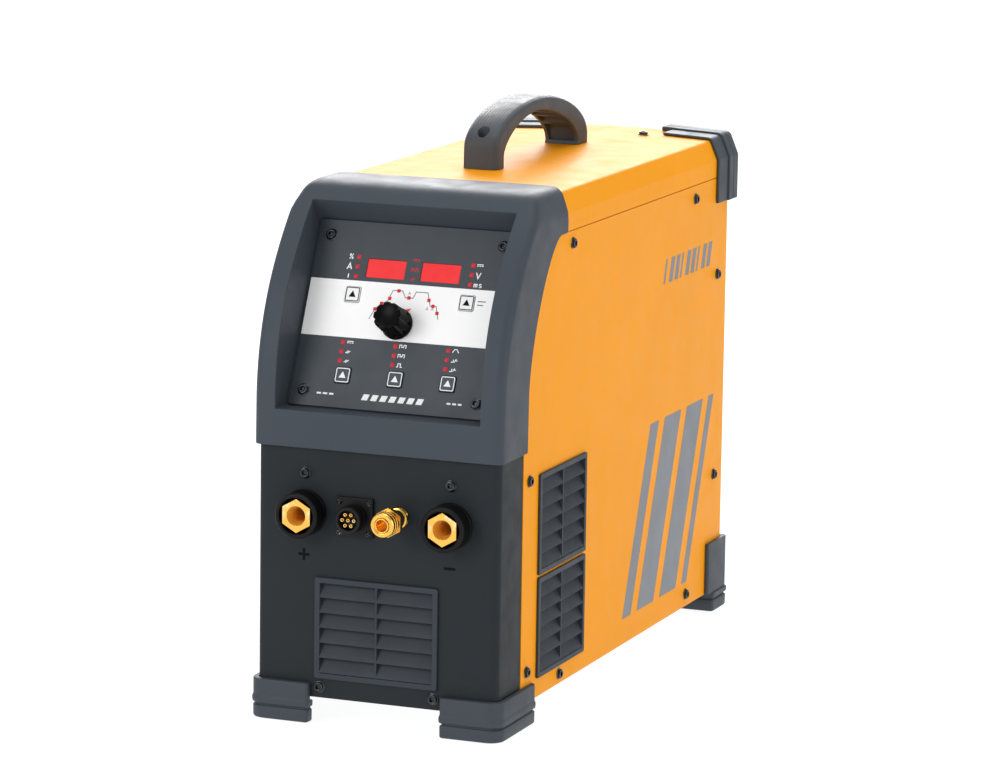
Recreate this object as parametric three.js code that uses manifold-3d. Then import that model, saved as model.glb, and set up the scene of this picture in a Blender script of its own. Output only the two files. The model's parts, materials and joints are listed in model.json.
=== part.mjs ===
// Inverter TIG welding machine. Millimetres, +Z up, front towards -Y.
// The machine frame has y = 0 on the lower front panel's face and z = 0 on that panel's bottom edge.
// The outer group moves it so that the origin is the centre of the bounding box's bottom.

import * as THREE from 'three';
import { mergeVertices } from 'three/addons/utils/BufferGeometryUtils.js';
import Module from 'manifold-3d';

const wasm = await Module();
wasm.setup();

// Case
const sideX = 110;
const rearY = 568;
const floorZ = -3;
const sheet = 1.5;
const gap = 0.3;
const seamZ = 388.6;
const roofLine = [[sideX, seamZ + gap], [sideX, 405], [102.6, 422.8], [18, 426.6]];
const roofZ = 426.6;
const rearPanelY = rearY - 3;
const panelX = 109.5;
const panelDepth = 52;
const panelTopZ = 222;
const sideFrontY = 52.4;

// Hood and control face
const hoodX = 112.3;
const hoodFrontY = -4.6;
const hoodBottomZ = 214;
const hoodRearY = 143;
const hoodWall = 3;
const hoodTopZ = 428;
const recessX = 92.5;
const recessBottomZ = 245.4;
const recessTopZ = 413.3;
const faceTilt = 24.7 * Math.PI / 180;
const faceOrigin = [0, 42.05, 300];
const plateX = 90.3;
const plateLow = -59;
const plateHigh = 104.4;
const plateThick = 2;
const plateScrewX = 78.4;
const plateScrewRows = [-45.6, 91];
const lipWide = 18;
const contentX = 2.4;

// Controls on the face, as [x, height up the slope]
const keySize = 13.4;
const keyHole = 14.2;
const keySpots = [[-51.8, 40], [51.8, 40], [-47.6, -30.7], [0, -30.7], [47.6, -30.7]];
const keyProud = 1.2;
const displaySpots = [[-23.6, 64.3], [26, 64.3]];
const displaySize = [35, 16.4];
const knobSpot = [-4, 17];
const knobTall = 28;
const knobFootRadius = 13.8;
const shaftRadius = 3;

// Front connectors on the lower panel
const socketX = 66;
const socketZ = 158.6;
const socketRadius = 19.8;
const socketProud = 20;
const contactBore = 6.5;
const torchSpot = [-20, 158.4];
const torchFlange = 34;
const torchScrewSpacing = 26.4;
const gasSpot = [19.6, 161.5];
const gasProud = 38;

// Grilles
const grilleWide = 111.7;
const grilleHigh = 87.2;
const grilleFrontZ = 60.6;
const grilleSideY = 142.7;
const grilleSideZ = [57.3, 146.9];
const grilleCut = 3.2;
const grilleRim = 3.8;
const grilleWall = 0.9;

// Handle
const handleX = 16.5;
const handleFrontY = 218;
const handleRearY = 445;
const handlePeak = [322, 480.3];
const handleUnderZ = 468;
const handleBoltsY = [227.5, 431];
const handleBoltSeatZ = 444;

// Feet and rear corner guards
const footZ = -22;
const footX = 114.4;
const footFrontY = -6;
const footFrontInnerX = 60;
const footFrontRearY = 78;
const footFrontRimZ = 12.4;
const footWall = 9.4;
const footRearInnerX = 80;
const footRearY = [537, 576];
const footRearRimY = 523;
const footRearRimZ = 45;
const footTiers = [[footZ, -11, 0], [-11, -9.6, -1.4], [-9.6, floorZ - gap, 0.8]];
const guardFrontY = 532;
const guardStepY = 557;
const guardRearY = 581;
const guardLowZ = 365;
const guardThin = 3;
const guardThick = 4.8;
const guardFrontInnerX = 57;
const guardRearInnerX = 47;

// Rear panel equipment
const fanZ = 112;
const fanSize = 120;
const fanDepth = 38;
const fanBore = 57;
const switchSpot = [-58, 330];
const glandSpot = [48, 262];
const gasInletSpot = [-58, 232];
const rearmostY = 594;
const ventRows = 4;
const ventColumns = [-56, 0, 56];
const ventSize = [44, 5];
const ventLowZ = 372;
const ventPitch = 11;

// Inside
const deckZ = 206;
const heatsinkY = [230, 420];
const boardZ = 104;
const capacitorSpots = [[-50, 300], [50, 300]];

const machine = new THREE.Group();
const frontmostY = -gasProud;
machine.position.set(0, -(frontmostY + rearmostY) / 2, -footZ);

const face = new THREE.Group();
face.position.set(...faceOrigin);
face.rotation.x = -faceTilt;
machine.add(face);

// Materials

const finish = (color, roughness, metalness = 0) =>
  new THREE.MeshStandardMaterial({ color, roughness, metalness });
const orangePaint = finish(0xf5a03c, 0.45);
const hoodPlastic = finish(0x4b5259, 0.5);
const panelPaint = finish(0x2f3437, 0.55);
const platePaint = finish(0x454c53, 0.5);
const trimPlastic = finish(0x4a5058, 0.6);
const blackPlastic = finish(0x101112, 0.4);
const brass = finish(0xf0c878, 0.25, 1);
const screwBlack = finish(0x18191a, 0.35, 0.8);
const knobPlastic = finish(0x0b0b0c, 0.3);
const keyPlastic = finish(0x3c4349, 0.5);
const displayRed = finish(0xff4346, 0.2);
const zincSteel = finish(0xb8bcc0, 0.4, 1);
const aluminium = finish(0xc8ccd0, 0.45, 1);
const ferrite = finish(0x3a3a3c, 0.7, 0.3);
const copper = finish(0xb86b3c, 0.4, 0.9);
const boardGreen = finish(0x1f5a3a, 0.6);
const wireSteel = finish(0xd0d2d5, 0.25, 1);
const hoseRubber = finish(0x1b1c1e, 0.7);

// Geometry helpers

function solid(geometry) {
  const bare = geometry.clone();
  bare.deleteAttribute('normal');
  bare.deleteAttribute('uv');
  const merged = mergeVertices(bare, 1e-4);
  return new wasm.Manifold(new wasm.Mesh({
    numProp: 3,
    vertProperties: new Float32Array(merged.attributes.position.array),
    triVerts: new Uint32Array(merged.index.array),
  }));
}

function geometryOf(body) {
  const mesh = body.getMesh();
  const geometry = new THREE.BufferGeometry();
  geometry.setAttribute('position', new THREE.BufferAttribute(new Float32Array(mesh.vertProperties), 3));
  geometry.setIndex(new THREE.BufferAttribute(new Uint32Array(mesh.triVerts), 1));
  return geometry;
}

function join(bodies) {
  return bodies.reduce((sum, body) => sum.add(body));
}

function cut(body, tools) {
  return tools.reduce((rest, tool) => rest.subtract(tool), body);
}

function piece(name, body, material, parent = machine) {
  const mesh = new THREE.Mesh(geometryOf(body), material);
  mesh.name = name;
  parent.add(mesh);
  return mesh;
}

function block(x0, x1, y0, y1, z0, z1) {
  const box = new THREE.BoxGeometry(x1 - x0, y1 - y0, z1 - z0);
  box.translate((x0 + x1) / 2, (y0 + y1) / 2, (z0 + z1) / 2);
  return solid(box);
}

// A cylinder along Y at [x, z].
function rodY(radius, y0, y1, x, z, sides = 24) {
  const rod = new THREE.CylinderGeometry(radius, radius, y1 - y0, sides);
  rod.translate(x, (y0 + y1) / 2, z);
  return solid(rod);
}

// A cylinder along Z at [x, y].
function rodZ(radius, z0, z1, x, y, sides = 24) {
  const rod = new THREE.CylinderGeometry(radius, radius, z1 - z0, sides);
  rod.rotateX(Math.PI / 2);
  rod.translate(x, y, (z0 + z1) / 2);
  return solid(rod);
}

// A profile of [radius, y] pairs turned about a line along Y at [x, z].
function turned(profile, x, z, sides = 32) {
  const points = profile.map(([r, y]) => new THREE.Vector2(r, y));
  if (THREE.ShapeUtils.isClockWise(points)) points.reverse();
  const lathe = new THREE.LatheGeometry(points, sides);
  lathe.translate(x, 0, z);
  return solid(lathe);
}

function outline(points) {
  return new THREE.Shape(points.map(([u, v]) => new THREE.Vector2(u, v)));
}

const axes = [new THREE.Vector3(1, 0, 0), new THREE.Vector3(0, 1, 0), new THREE.Vector3(0, 0, 1)];

// A [y, z] outline carried from x0 to x1.
function acrossX(shape, x0, x1, curveSegments = 12) {
  const body = new THREE.ExtrudeGeometry(shape, { depth: x1 - x0, bevelEnabled: false, curveSegments });
  body.applyMatrix4(new THREE.Matrix4().makeBasis(axes[1], axes[2], axes[0]));
  body.translate(x0, 0, 0);
  return solid(body);
}

// An [x, z] outline carried from y0 to y1.
function alongY(shape, y0, y1, curveSegments = 12) {
  const body = new THREE.ExtrudeGeometry(shape, { depth: y1 - y0, bevelEnabled: false, curveSegments });
  body.applyMatrix4(new THREE.Matrix4().makeBasis(axes[0], axes[2], axes[1].clone().negate()));
  body.translate(0, y1, 0);
  return solid(body);
}

// An [x, y] outline carried from z0 to z1.
function alongZ(shape, z0, z1, curveSegments = 12) {
  const body = new THREE.ExtrudeGeometry(shape, { depth: z1 - z0, bevelEnabled: false, curveSegments });
  body.translate(0, 0, z0);
  return solid(body);
}

// An open line of [u, v] points moved sideways by a distance, to the left of its direction.
function offset(line, distance) {
  const points = line.map(([u, v]) => new THREE.Vector2(u, v));
  const normals = points.slice(1).map((p, i) => {
    const along = p.clone().sub(points[i]).normalize();
    return new THREE.Vector2(-along.y, along.x);
  });
  return points.map((p, i) => {
    const before = normals[Math.max(i - 1, 0)];
    const after = normals[Math.min(i, normals.length - 1)];
    const middle = before.clone().add(after).normalize();
    return p.clone().addScaledVector(middle, distance / middle.dot(before)).toArray();
  });
}

const mirrored = (line) => line.map(([u, v]) => [-u, v]).reverse();

// The roof's bent section, with both halves, at an inset from the outside.
const roofAt = (inset) => [...offset(roofLine, inset), ...mirrored(offset(roofLine, inset))];

const roundedRectangle = (x0, x1, y0, y1, r) => {
  const shape = new THREE.Shape();
  shape.moveTo(x0 + r, y0);
  shape.lineTo(x1 - r, y0);
  shape.absarc(x1 - r, y0 + r, r, -Math.PI / 2, 0);
  shape.absarc(x1 - r, y1 - r, r, 0, Math.PI / 2);
  shape.absarc(x0 + r, y1 - r, r, Math.PI / 2, Math.PI);
  shape.absarc(x0 + r, y0 + r, r, Math.PI, 1.5 * Math.PI);
  return shape;
};

const hexagon = (acrossFlats, x, z) => outline([0, 1, 2, 3, 4, 5].map((i) => {
  const turn = i * Math.PI / 3 + Math.PI / 2;
  return [x + Math.cos(turn) * acrossFlats / Math.sqrt(3), z + Math.sin(turn) * acrossFlats / Math.sqrt(3)];
}));

// Sheet-metal case

function makeCase() {
  const pan = cut(block(-107.7, 107.7, 6, 564.5 - sheet, gap, 14), [
    block(-106.2, 106.2, 1, 566, gap + sheet, 15),
    ...[-1, 1].flatMap((side) => [0, 1, 2, 3, 4].map((i) =>
      block(side * 55 - 30, side * 55 + 30, 230 + i * 24, 238 + i * 24, -2, 4))),
  ]);
  piece('base_pan', pan, zincSteel);

  const roofOuter = roofAt(0);
  const cover = alongY(outline([...roofOuter, ...roofAt(sheet).reverse()]), hoodRearY + 0.5, rearY);
  const boltHoles = handleBoltsY.map((y) => rodZ(3.4, 410, 440, 0, y, 12));
  piece('top_cover', cut(cover, boltHoles), orangePaint);

  for (const side of [1, -1]) {
    const wall = acrossX(outline([[sideFrontY, floorZ], [rearY, floorZ], [rearY, seamZ - gap],
      [sideFrontY + 30, seamZ - gap], [sideFrontY, seamZ - 40]]), sideX - sheet, sideX);
    const rearFlange = block(sideX - 14, sideX, rearY - sheet, rearY, floorZ, seamZ - gap);
    const openings = grilleSideZ.map((z) => block(sideX - 20, sideX + 5,
      grilleSideY - grilleWide / 2 + grilleCut, grilleSideY + grilleWide / 2 - grilleCut,
      z - grilleHigh / 2 + grilleCut, z + grilleHigh / 2 - grilleCut));
    const panel = cut(join([wall, rearFlange]), openings);
    piece(side > 0 ? 'side_panel_right' : 'side_panel_left',
      side > 0 ? panel : panel.mirror([1, 0, 0]), orangePaint);
  }

  const panelBlock = alongZ(roundedRectangle(-panelX, panelX, 0, panelDepth + 12, 5), 0, panelTopZ, 3);
  const inside = alongZ(roundedRectangle(-panelX + sheet, panelX - sheet, sheet, panelDepth + 11, 4),
    -1, panelTopZ + 1, 3);
  const front = cut(panelBlock, [
    inside,
    block(-120, 120, panelDepth, panelDepth + 20, -1, panelTopZ + 1),
    block(-grilleWide / 2 + grilleCut, grilleWide / 2 - grilleCut, -5, 10,
      grilleFrontZ - grilleHigh / 2 + grilleCut, grilleFrontZ + grilleHigh / 2 - grilleCut),
    rodY(16.6, -5, 10, -socketX, socketZ, 24),
    rodY(16.6, -5, 10, socketX, socketZ, 24),
    rodY(10.5, -5, 10, ...torchSpot, 18),
    rodY(7, -5, 10, ...gasSpot, 16),
  ]);
  piece('front_panel', front, panelPaint);

  const rearShape = outline([[sideX - sheet - gap, 1], ...offset(roofLine, sheet + gap).slice(1),
    ...mirrored(offset(roofLine, sheet + gap).slice(1)), [-sideX + sheet + gap, 1]]);
  const vents = [];
  const [ventWide, ventHigh] = ventSize;
  for (let row = 0; row < ventRows; row += 1) {
    const low = ventLowZ + row * ventPitch;
    for (const x of ventColumns) {
      const near = x - ventWide / 2;
      vents.push(block(near, near + ventWide, rearPanelY - 9, rearPanelY + 9, low, low + ventHigh));
    }
  }
  const rear = cut(alongY(rearShape, rearPanelY - sheet, rearPanelY), [
    rodY(fanBore, rearPanelY - 9, rearPanelY + 9, 0, fanZ, 28),
    rodY(11, rearPanelY - 9, rearPanelY + 9, ...switchSpot, 16),
    rodY(10.6, rearPanelY - 9, rearPanelY + 9, ...glandSpot, 16),
    rodY(5.6, rearPanelY - 9, rearPanelY + 9, ...gasInletSpot, 12),
    ...vents,
  ]);
  piece('rear_panel', rear, panelPaint);
}

// Moulded hood with the recess for the control face

const hoodFront = new THREE.Shape();
hoodFront.moveTo(hoodFrontY, hoodBottomZ);
hoodFront.lineTo(hoodFrontY + 0.6, 255);
hoodFront.bezierCurveTo(-1, 322, 27, 370, 80, 422);
hoodFront.quadraticCurveTo(86.5, hoodTopZ, 104, hoodTopZ);
hoodFront.lineTo(hoodRearY, hoodTopZ);

const hoodFrontLine = hoodFront.getPoints(12).map((p) => p.toArray());

function hoodSection(halfWidth, inset) {
  return outline([[halfWidth, 100], [halfWidth, 406 - inset * 0.2], [halfWidth - 8, hoodTopZ - inset],
    [-halfWidth + 8, hoodTopZ - inset], [-halfWidth, 406 - inset * 0.2], [-halfWidth, 100]]);
}

// The plate's plane carried sideways: behind is how far inwards from the plate's face.
function facePlane(behind, slope) {
  return [
    faceOrigin[1] + slope * Math.sin(faceTilt) + behind * Math.cos(faceTilt),
    faceOrigin[2] + slope * Math.cos(faceTilt) - behind * Math.sin(faceTilt),
  ];
}

function makeHood() {
  const wing = new THREE.Shape(hoodFront.getPoints(12));
  wing.lineTo(hoodRearY, seamZ);
  wing.lineTo(128, seamZ);
  wing.bezierCurveTo(104, 386, 60, 312, 57, 262);
  wing.lineTo(56, hoodBottomZ);
  const plan = roundedRectangle(-hoodX, hoodX, hoodFrontY, 300, 8);
  const outer = acrossX(wing, -hoodX, hoodX)
    .intersect(alongY(hoodSection(hoodX, 0), -40, 260))
    .intersect(alongZ(plan, 200, 440, 5));
  const innerX = sideX + gap;
  const innerLine = offset(hoodFrontLine, -hoodWall);
  const low = [innerLine[0][0], 190];
  const innerTopZ = hoodTopZ - hoodWall;
  const cavity = acrossX(outline([low, ...innerLine, [300, innerTopZ], [300, 190]]), -innerX, innerX)
    .intersect(alongY(hoodSection(innerX, hoodWall), -40, 310))
    .intersect(alongZ(roundedRectangle(-innerX, innerX, hoodFrontY + hoodWall, 320, 6), 150, 460, 4));
  const shell = outer.subtract(cavity);

  const lip = plateThick + 3;
  const backLow = facePlane(lip, plateLow - 4);
  const backHigh = facePlane(lip, plateHigh + 5);
  const bezelSide = outline([[-60, recessBottomZ - 3], [backLow[0], backLow[1] - 1.5], backLow, backHigh,
    [backHigh[0] - 6, recessTopZ + 5], [-60, recessTopZ + 5]]);
  const bezel = acrossX(bezelSide, -recessX - 3, recessX + 3).intersect(outer);
  const pocketSide = outline([[-80, recessBottomZ], facePlane(plateThick + gap, plateLow - 2 * gap),
    facePlane(plateThick + gap, plateHigh + 2 * gap), [69.7, recessTopZ], [-80, recessTopZ]]);
  const pocket = acrossX(pocketSide, -recessX, recessX);
  const windowLow = plateLow + lipWide;
  const windowHigh = plateHigh - lipWide;
  const windowSide = outline([facePlane(-5, windowLow), facePlane(12, windowLow), facePlane(12, windowHigh),
    facePlane(-5, windowHigh)]);
  const window = acrossX(windowSide, -plateX + lipWide, plateX - lipWide);
  const corners = plateScrewRows.flatMap((s) => [-1, 1].map((side) => [side * plateScrewX, s]));
  const bores = corners.map(([x, s]) => {
    const rod = new THREE.CylinderGeometry(2.5, 2.5, 30, 8);
    rod.translate(x, 0, s);
    rod.applyMatrix4(faceMatrix());
    return solid(rod);
  });
  const hood = cut(join([shell, bezel]), [pocket, window, ...bores]);
  piece('front_hood', hood, hoodPlastic);
}

function faceMatrix() {
  return new THREE.Matrix4().makeRotationX(-faceTilt).setPosition(...faceOrigin);
}

// Control face: the plate and everything on it, in the tilted face frame

function makeFace() {
  const plate = cut(block(-plateX, plateX, 0, plateThick, plateLow, plateHigh), [
    ...keySpots.map(([x, s]) => block(contentX + x - keyHole / 2, contentX + x + keyHole / 2,
      -1, 4, s - keyHole / 2, s + keyHole / 2)),
    ...displaySpots.map(([x, s]) => block(x - displaySize[0] / 2, x + displaySize[0] / 2,
      -1, 4, s - displaySize[1] / 2, s + displaySize[1] / 2)),
    rodY(4.2, -1, 4, ...knobSpot, 14),
    ...plateScrewRows.flatMap((s) => [-1, 1].map((side) => rodY(2.5, -1, 4, side * plateScrewX, s, 8))),
  ]);
  piece('control_plate', plate, platePaint, face);

  keySpots.forEach(([x, s], i) => {
    const half = keySize / 2;
    const centre = contentX + x;
    const cap = block(centre - half, centre + half, -keyProud, 3.4, s - half, s + half);
    const skirt = block(centre - half - 1.4, centre + half + 1.4, 2.8, 4.4, s - half - 1.4, s + half + 1.4);
    const stem = rodY(1.6, 4, 6.8, centre, s, 10);
    piece(`key_${i + 1}`, join([cap, skirt, stem]), keyPlastic, face);
  });

  displaySpots.forEach(([x, s], i) => {
    const pane = block(x - displaySize[0] / 2 + gap, x + displaySize[0] / 2 - gap, 0.2, 3,
      s - displaySize[1] / 2 + gap, s + displaySize[1] / 2 - gap);
    const body = block(x - 18.8, x + 18.8, 2.5, 10, s - 9.5, s + 9.5);
    piece(i ? 'display_right' : 'display_left', join([pane, body]), displayRed, face);
  });

  const board = cut(block(-84, 84, 14, 15.6, -52, 96), [
    ...plateScrewRows.flatMap((s) => [-1, 1].map((side) => rodY(3, 10, 20, side * plateScrewX, s, 8))),
    rodY(4, 10, 20, ...knobSpot, 10),
  ]);
  piece('control_board', board, boardGreen, face);
}

function makeEncoder() {
  const [x, s] = knobSpot;
  const housing = cut(join([block(x - 7, x + 7, 5, 13.6, s - 7, s + 7), rodY(4, gap + 2.2, 6, x, s, 14)]), [
    rodY(shaftRadius + 0.3, 0, 9, x, s, 14),
    rodY(4.6, 8, 14, x, s, 14),
  ]);
  piece('encoder_body', housing, zincSteel, face);
  piece('encoder_plunger', rodY(4.2, 9.6, 12.2, x, s, 12), blackPlastic, face);
  piece('encoder_shaft', cut(rodY(shaftRadius, -19, 9.2, x, s, 14), [
    block(x - 5, x + 5, -20, -6, s + 1.6, s + 5),
  ]), zincSteel, face);

  const flutes = 9;
  const shape = new THREE.Shape();
  const steps = flutes * 4;
  for (let i = 0; i < steps; i += 1) {
    const turn = i * 2 * Math.PI / steps;
    const dip = 0.9 * Math.max(0, Math.cos(flutes * turn)) ** 2;
    const radius = knobFootRadius - 0.1 - dip;
    const point = [x + radius * Math.cos(turn), s + radius * Math.sin(turn)];
    if (i) shape.lineTo(...point);
    else shape.moveTo(...point);
  }
  const envelope = turned([[0, -knobTall], [knobFootRadius - 2.6, -knobTall],
    [knobFootRadius - 1.3, -knobTall + 1.3], [knobFootRadius, -1.2], [0, -1.2]], x, s, 24);
  const grip = alongY(shape, -knobTall, -1).intersect(envelope);
  const knob = grip.subtract(rodY(shaftRadius + 0.3, -20, 2, x, s, 14));
  piece('knob', knob, knobPlastic, face);
}

// Front connectors

function makeSockets() {
  [[-socketX, 'pos'], [socketX, 'neg']].forEach(([x, end]) => {
    const shell = turned([[15.2, -socketProud], [18.6, -socketProud], [socketRadius, -socketProud + 1.4],
      [socketRadius, -gap], [16, -gap], [16, 12], [11, 12], [11, -5], [15.2, -5], [15.2, -socketProud]],
    x, socketZ, 24);
    piece(`weld_socket_shell_${end}`, shell, blackPlastic);
    const nut = alongY(hexagon(25.2, x, socketZ), -socketProud + 1, -5.4);
    const stud = rodY(9.6, -6, 34, x, socketZ, 16);
    const bore = rodY(contactBore, -socketProud - 2, 14, x, socketZ, 16);
    const keyway = block(x - 2.2, x + 2.2, -socketProud - 2, 10, socketZ, socketZ + 9);
    piece(`weld_socket_contact_${end}`, cut(join([nut, stud]), [bore, keyway]), brass);
  });

  const [tx, tz] = torchSpot;
  const half = torchFlange / 2;
  const flange = alongY(roundedRectangle(tx - half, tx + half, tz - half, tz + half, 2.5), -3.3, -gap, 3);
  const barrel = turned([[8.4, -17], [11, -17], [11.6, -16.2], [11.6, -1], [10, -1], [10, 12], [8.4, 12],
    [8.4, -17]], tx, tz, 18);
  const screwHoles = [-0.5, 0.5].flatMap((i) => [-0.5, 0.5].map((j) =>
    rodY(1.7, -9, 9, tx + i * torchScrewSpacing, tz + j * torchScrewSpacing, 8)));
  piece('torch_socket_shell', cut(join([flange, barrel]), [...screwHoles, rodY(8.4, -20, 14, tx, tz, 18)]),
    blackPlastic);
  const pins = [[0, 0]];
  for (let i = 0; i < 6; i += 1) {
    pins.push([5.3 * Math.cos(i * Math.PI / 3), 5.3 * Math.sin(i * Math.PI / 3)]);
  }
  const insert = join([rodY(8, -11, 16, tx, tz, 18),
    ...pins.map(([x, z]) => rodY(1.2, -16, 20, tx + x, tz + z, 6))]);
  piece('torch_socket_insert', insert, brass);

  const [gx, gz] = gasSpot;
  const fitting = turned([[0, 24], [5, 24], [5, 18], [6.6, 18], [6.6, -gap], [9, -gap], [9, -5], [7.5, -5],
    [7.5, -17], [6.3, -17], [6.3, -gasProud], [4.8, -gasProud], [4.8, 4], [0, 4]], gx, gz, 16);
  piece('gas_fitting_body', fitting, brass);
  const nose = turned([[6.7, -gasProud + 0.6], [9.8, -gasProud + 0.6], [10.6, -gasProud + 1.4], [10.6, -18],
    [7.9, -18], [7.9, -22.8], [6.7, -22.8], [6.7, -gasProud + 0.6]], gx, gz, 18);
  const collar = alongY(hexagon(22, gx, gz), -24, -18.4).subtract(rodY(8.6, -30, -10, gx, gz, 18));
  piece('gas_release_sleeve', join([nose, collar]), brass);
}

// Ventilation grille, facing -Y, centred on the origin

function grilleBody() {
  const w = grilleWide / 2;
  const h = grilleHigh / 2;
  const rim = grilleRim;
  const flange = alongY(roundedRectangle(-w, w, -h, h, 3), -2.4, -gap, 1);
  const spigot = block(-w + rim - 0.3, w - rim + 0.3, -1, 5, -h + rim - 0.3, h - rim + 0.3);
  const inside = rim + grilleWall;
  const opening = block(-w + inside, w - inside, -9, 9, -h + inside, h - inside);
  const frame = join([flange, spigot]).subtract(opening);
  const rows = 6;
  const pitch = (grilleHigh - 2 * inside) / rows;
  const slats = [];
  for (let i = 0; i < rows; i += 1) {
    const middle = -h + inside + (i + 0.5) * pitch;
    const slat = outline([[-2.2, middle - 5.4], [-1.2, middle - 6.2], [4.6, middle + 5],
      [4.6, middle + 7]]);
    slats.push(acrossX(slat, -w + rim, w - rim));
  }
  const rib = block(-2, 2, -2.2, 4.8, -h + rim, h - rim);
  return join([frame, ...slats, rib]);
}

function makeGrilles() {
  piece('front_grille', grilleBody(), panelPaint).position.set(0, 0, grilleFrontZ);
  for (const side of [1, -1]) {
    grilleSideZ.forEach((z, i) => {
      const mesh = piece(`side_grille_${side > 0 ? 'right' : 'left'}_${i ? 'upper' : 'lower'}`,
        grilleBody(), panelPaint);
      mesh.rotation.z = side * Math.PI / 2;
      mesh.position.set(side * sideX, grilleSideY, z);
    });
  }
}

// Carrying handle

function makeHandle() {
  const baseZ = roofZ + gap;
  const [peakY, peakZ] = handlePeak;
  const outer = new THREE.Shape();
  outer.moveTo(handleFrontY, baseZ);
  outer.lineTo(handleFrontY + 1, 447);
  outer.bezierCurveTo(handleFrontY + 2, 463, peakY - 60, peakZ, peakY, peakZ);
  outer.bezierCurveTo(peakY + 56, peakZ, handleRearY - 2, 459, handleRearY, 436);
  outer.lineTo(handleRearY, baseZ);
  outer.lineTo(handleRearY - 28, baseZ);
  outer.lineTo(handleRearY - 27, 430);
  outer.bezierCurveTo(handleRearY - 29, 450, peakY + 30, handleUnderZ, peakY - 4, handleUnderZ);
  outer.bezierCurveTo(peakY - 50, handleUnderZ, handleFrontY + 19, 448, handleFrontY + 18, 436);
  outer.lineTo(handleFrontY + 18.5, baseZ);
  const channel = new THREE.Shape();
  channel.moveTo(handleFrontY + 20, 438);
  channel.bezierCurveTo(handleFrontY + 24, 458, peakY - 58, peakZ - 4, peakY, peakZ - 4);
  channel.bezierCurveTo(peakY + 52, peakZ - 4, handleRearY - 32, 460, handleRearY - 28, 438);
  const ribs = [];
  for (let i = -4; i <= 4; i += 1) {
    ribs.push(block(-20, 20, peakY + i * 20 - 1, peakY + i * 20 + 1, 420, 500));
  }
  const hollow = cut(acrossX(channel, -12.5, 12.5), ribs);
  const seat = handleBoltSeatZ;
  const holes = handleBoltsY.flatMap((y) => [rodZ(3.4, 420, 470, 0, y, 12), rodZ(5.3, seat, 490, 0, y, 16)]);
  piece('handle', cut(acrossX(outer, -handleX, handleX, 10), [hollow, ...holes]), trimPlastic);
  handleBoltsY.forEach((y, i) => {
    const bolt = cut(join([rodZ(4.9, seat + 0.3, seat + 5.2, 0, y, 14), rodZ(3, 414, seat + 1, 0, y, 10)]), [
      rodZ(2.5, seat + 2.4, seat + 10, 0, y, 6),
    ]);
    piece(i ? 'handle_bolt_rear' : 'handle_bolt_front', bolt, screwBlack);
  });
}

// Corner feet and rear top corner guards, mirrored left and right

function makeFeet() {
  for (const side of [1, -1]) {
    const hand = (body) => (side > 0 ? body : body.mirror([1, 0, 0]));
    const name = side > 0 ? 'right' : 'left';
    const innerCorner = block(footFrontInnerX - 20, footX - footWall, footFrontY + footWall,
      footFrontRearY + 12, footZ - 18, 20);
    const frontBlock = footTiers.map(([z0, z1, grow]) => cut(
      block(footFrontInnerX - grow, footX + grow, footFrontY - grow, footFrontRearY, z0, z1),
      [innerCorner],
    ));
    const frontRim = cut(
      block(footFrontInnerX, footX, footFrontY, footFrontRearY, floorZ - 1, footFrontRimZ),
      [block(footFrontInnerX - 20, sideX + gap, -gap, footFrontRearY + 12, floorZ - gap, 20)],
    );
    piece(`foot_front_${name}`, hand(join([...frontBlock, frontRim])), trimPlastic);

    const [rearNear, rearFar] = footRearY;
    const rearBlock = footTiers.map(([z0, z1, grow]) =>
      block(footRearInnerX - grow, footX + grow, rearNear, rearFar + grow, z0, z1));
    const rearRim = cut(block(footRearInnerX + 4, footX - 0.4, footRearRimY, rearFar, -8, footRearRimZ), [
      block(60, sideX + gap, 500, rearY + gap, floorZ - gap, 60),
      block(60, sideX + gap, 500, rearNear, -20, 60),
    ]);
    piece(`foot_rear_${name}`, hand(join([...rearBlock, rearRim])), trimPlastic);

    const guardLine = [[sideX, guardLowZ], ...roofLine.slice(1)];
    const band = (inner, outer) =>
      outline([...offset(guardLine, outer), ...offset(guardLine, inner).reverse()]);
    const trimEnd = (x) => block(-50, x, 500, 600, 300, 500);
    const guard = join([
      cut(alongY(band(-0.4, -guardThin), guardFrontY, guardStepY + 1), [trimEnd(guardFrontInnerX)]),
      cut(alongY(band(-0.4, -guardThick), guardStepY, rearY + gap), [trimEnd(guardRearInnerX)]),
      cut(alongY(band(13, -guardThick), rearY + gap, guardRearY), [trimEnd(guardRearInnerX)]),
    ]);
    piece(`rear_guard_${name}`, hand(guard), trimPlastic);
  }
}

// Rear panel equipment

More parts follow.
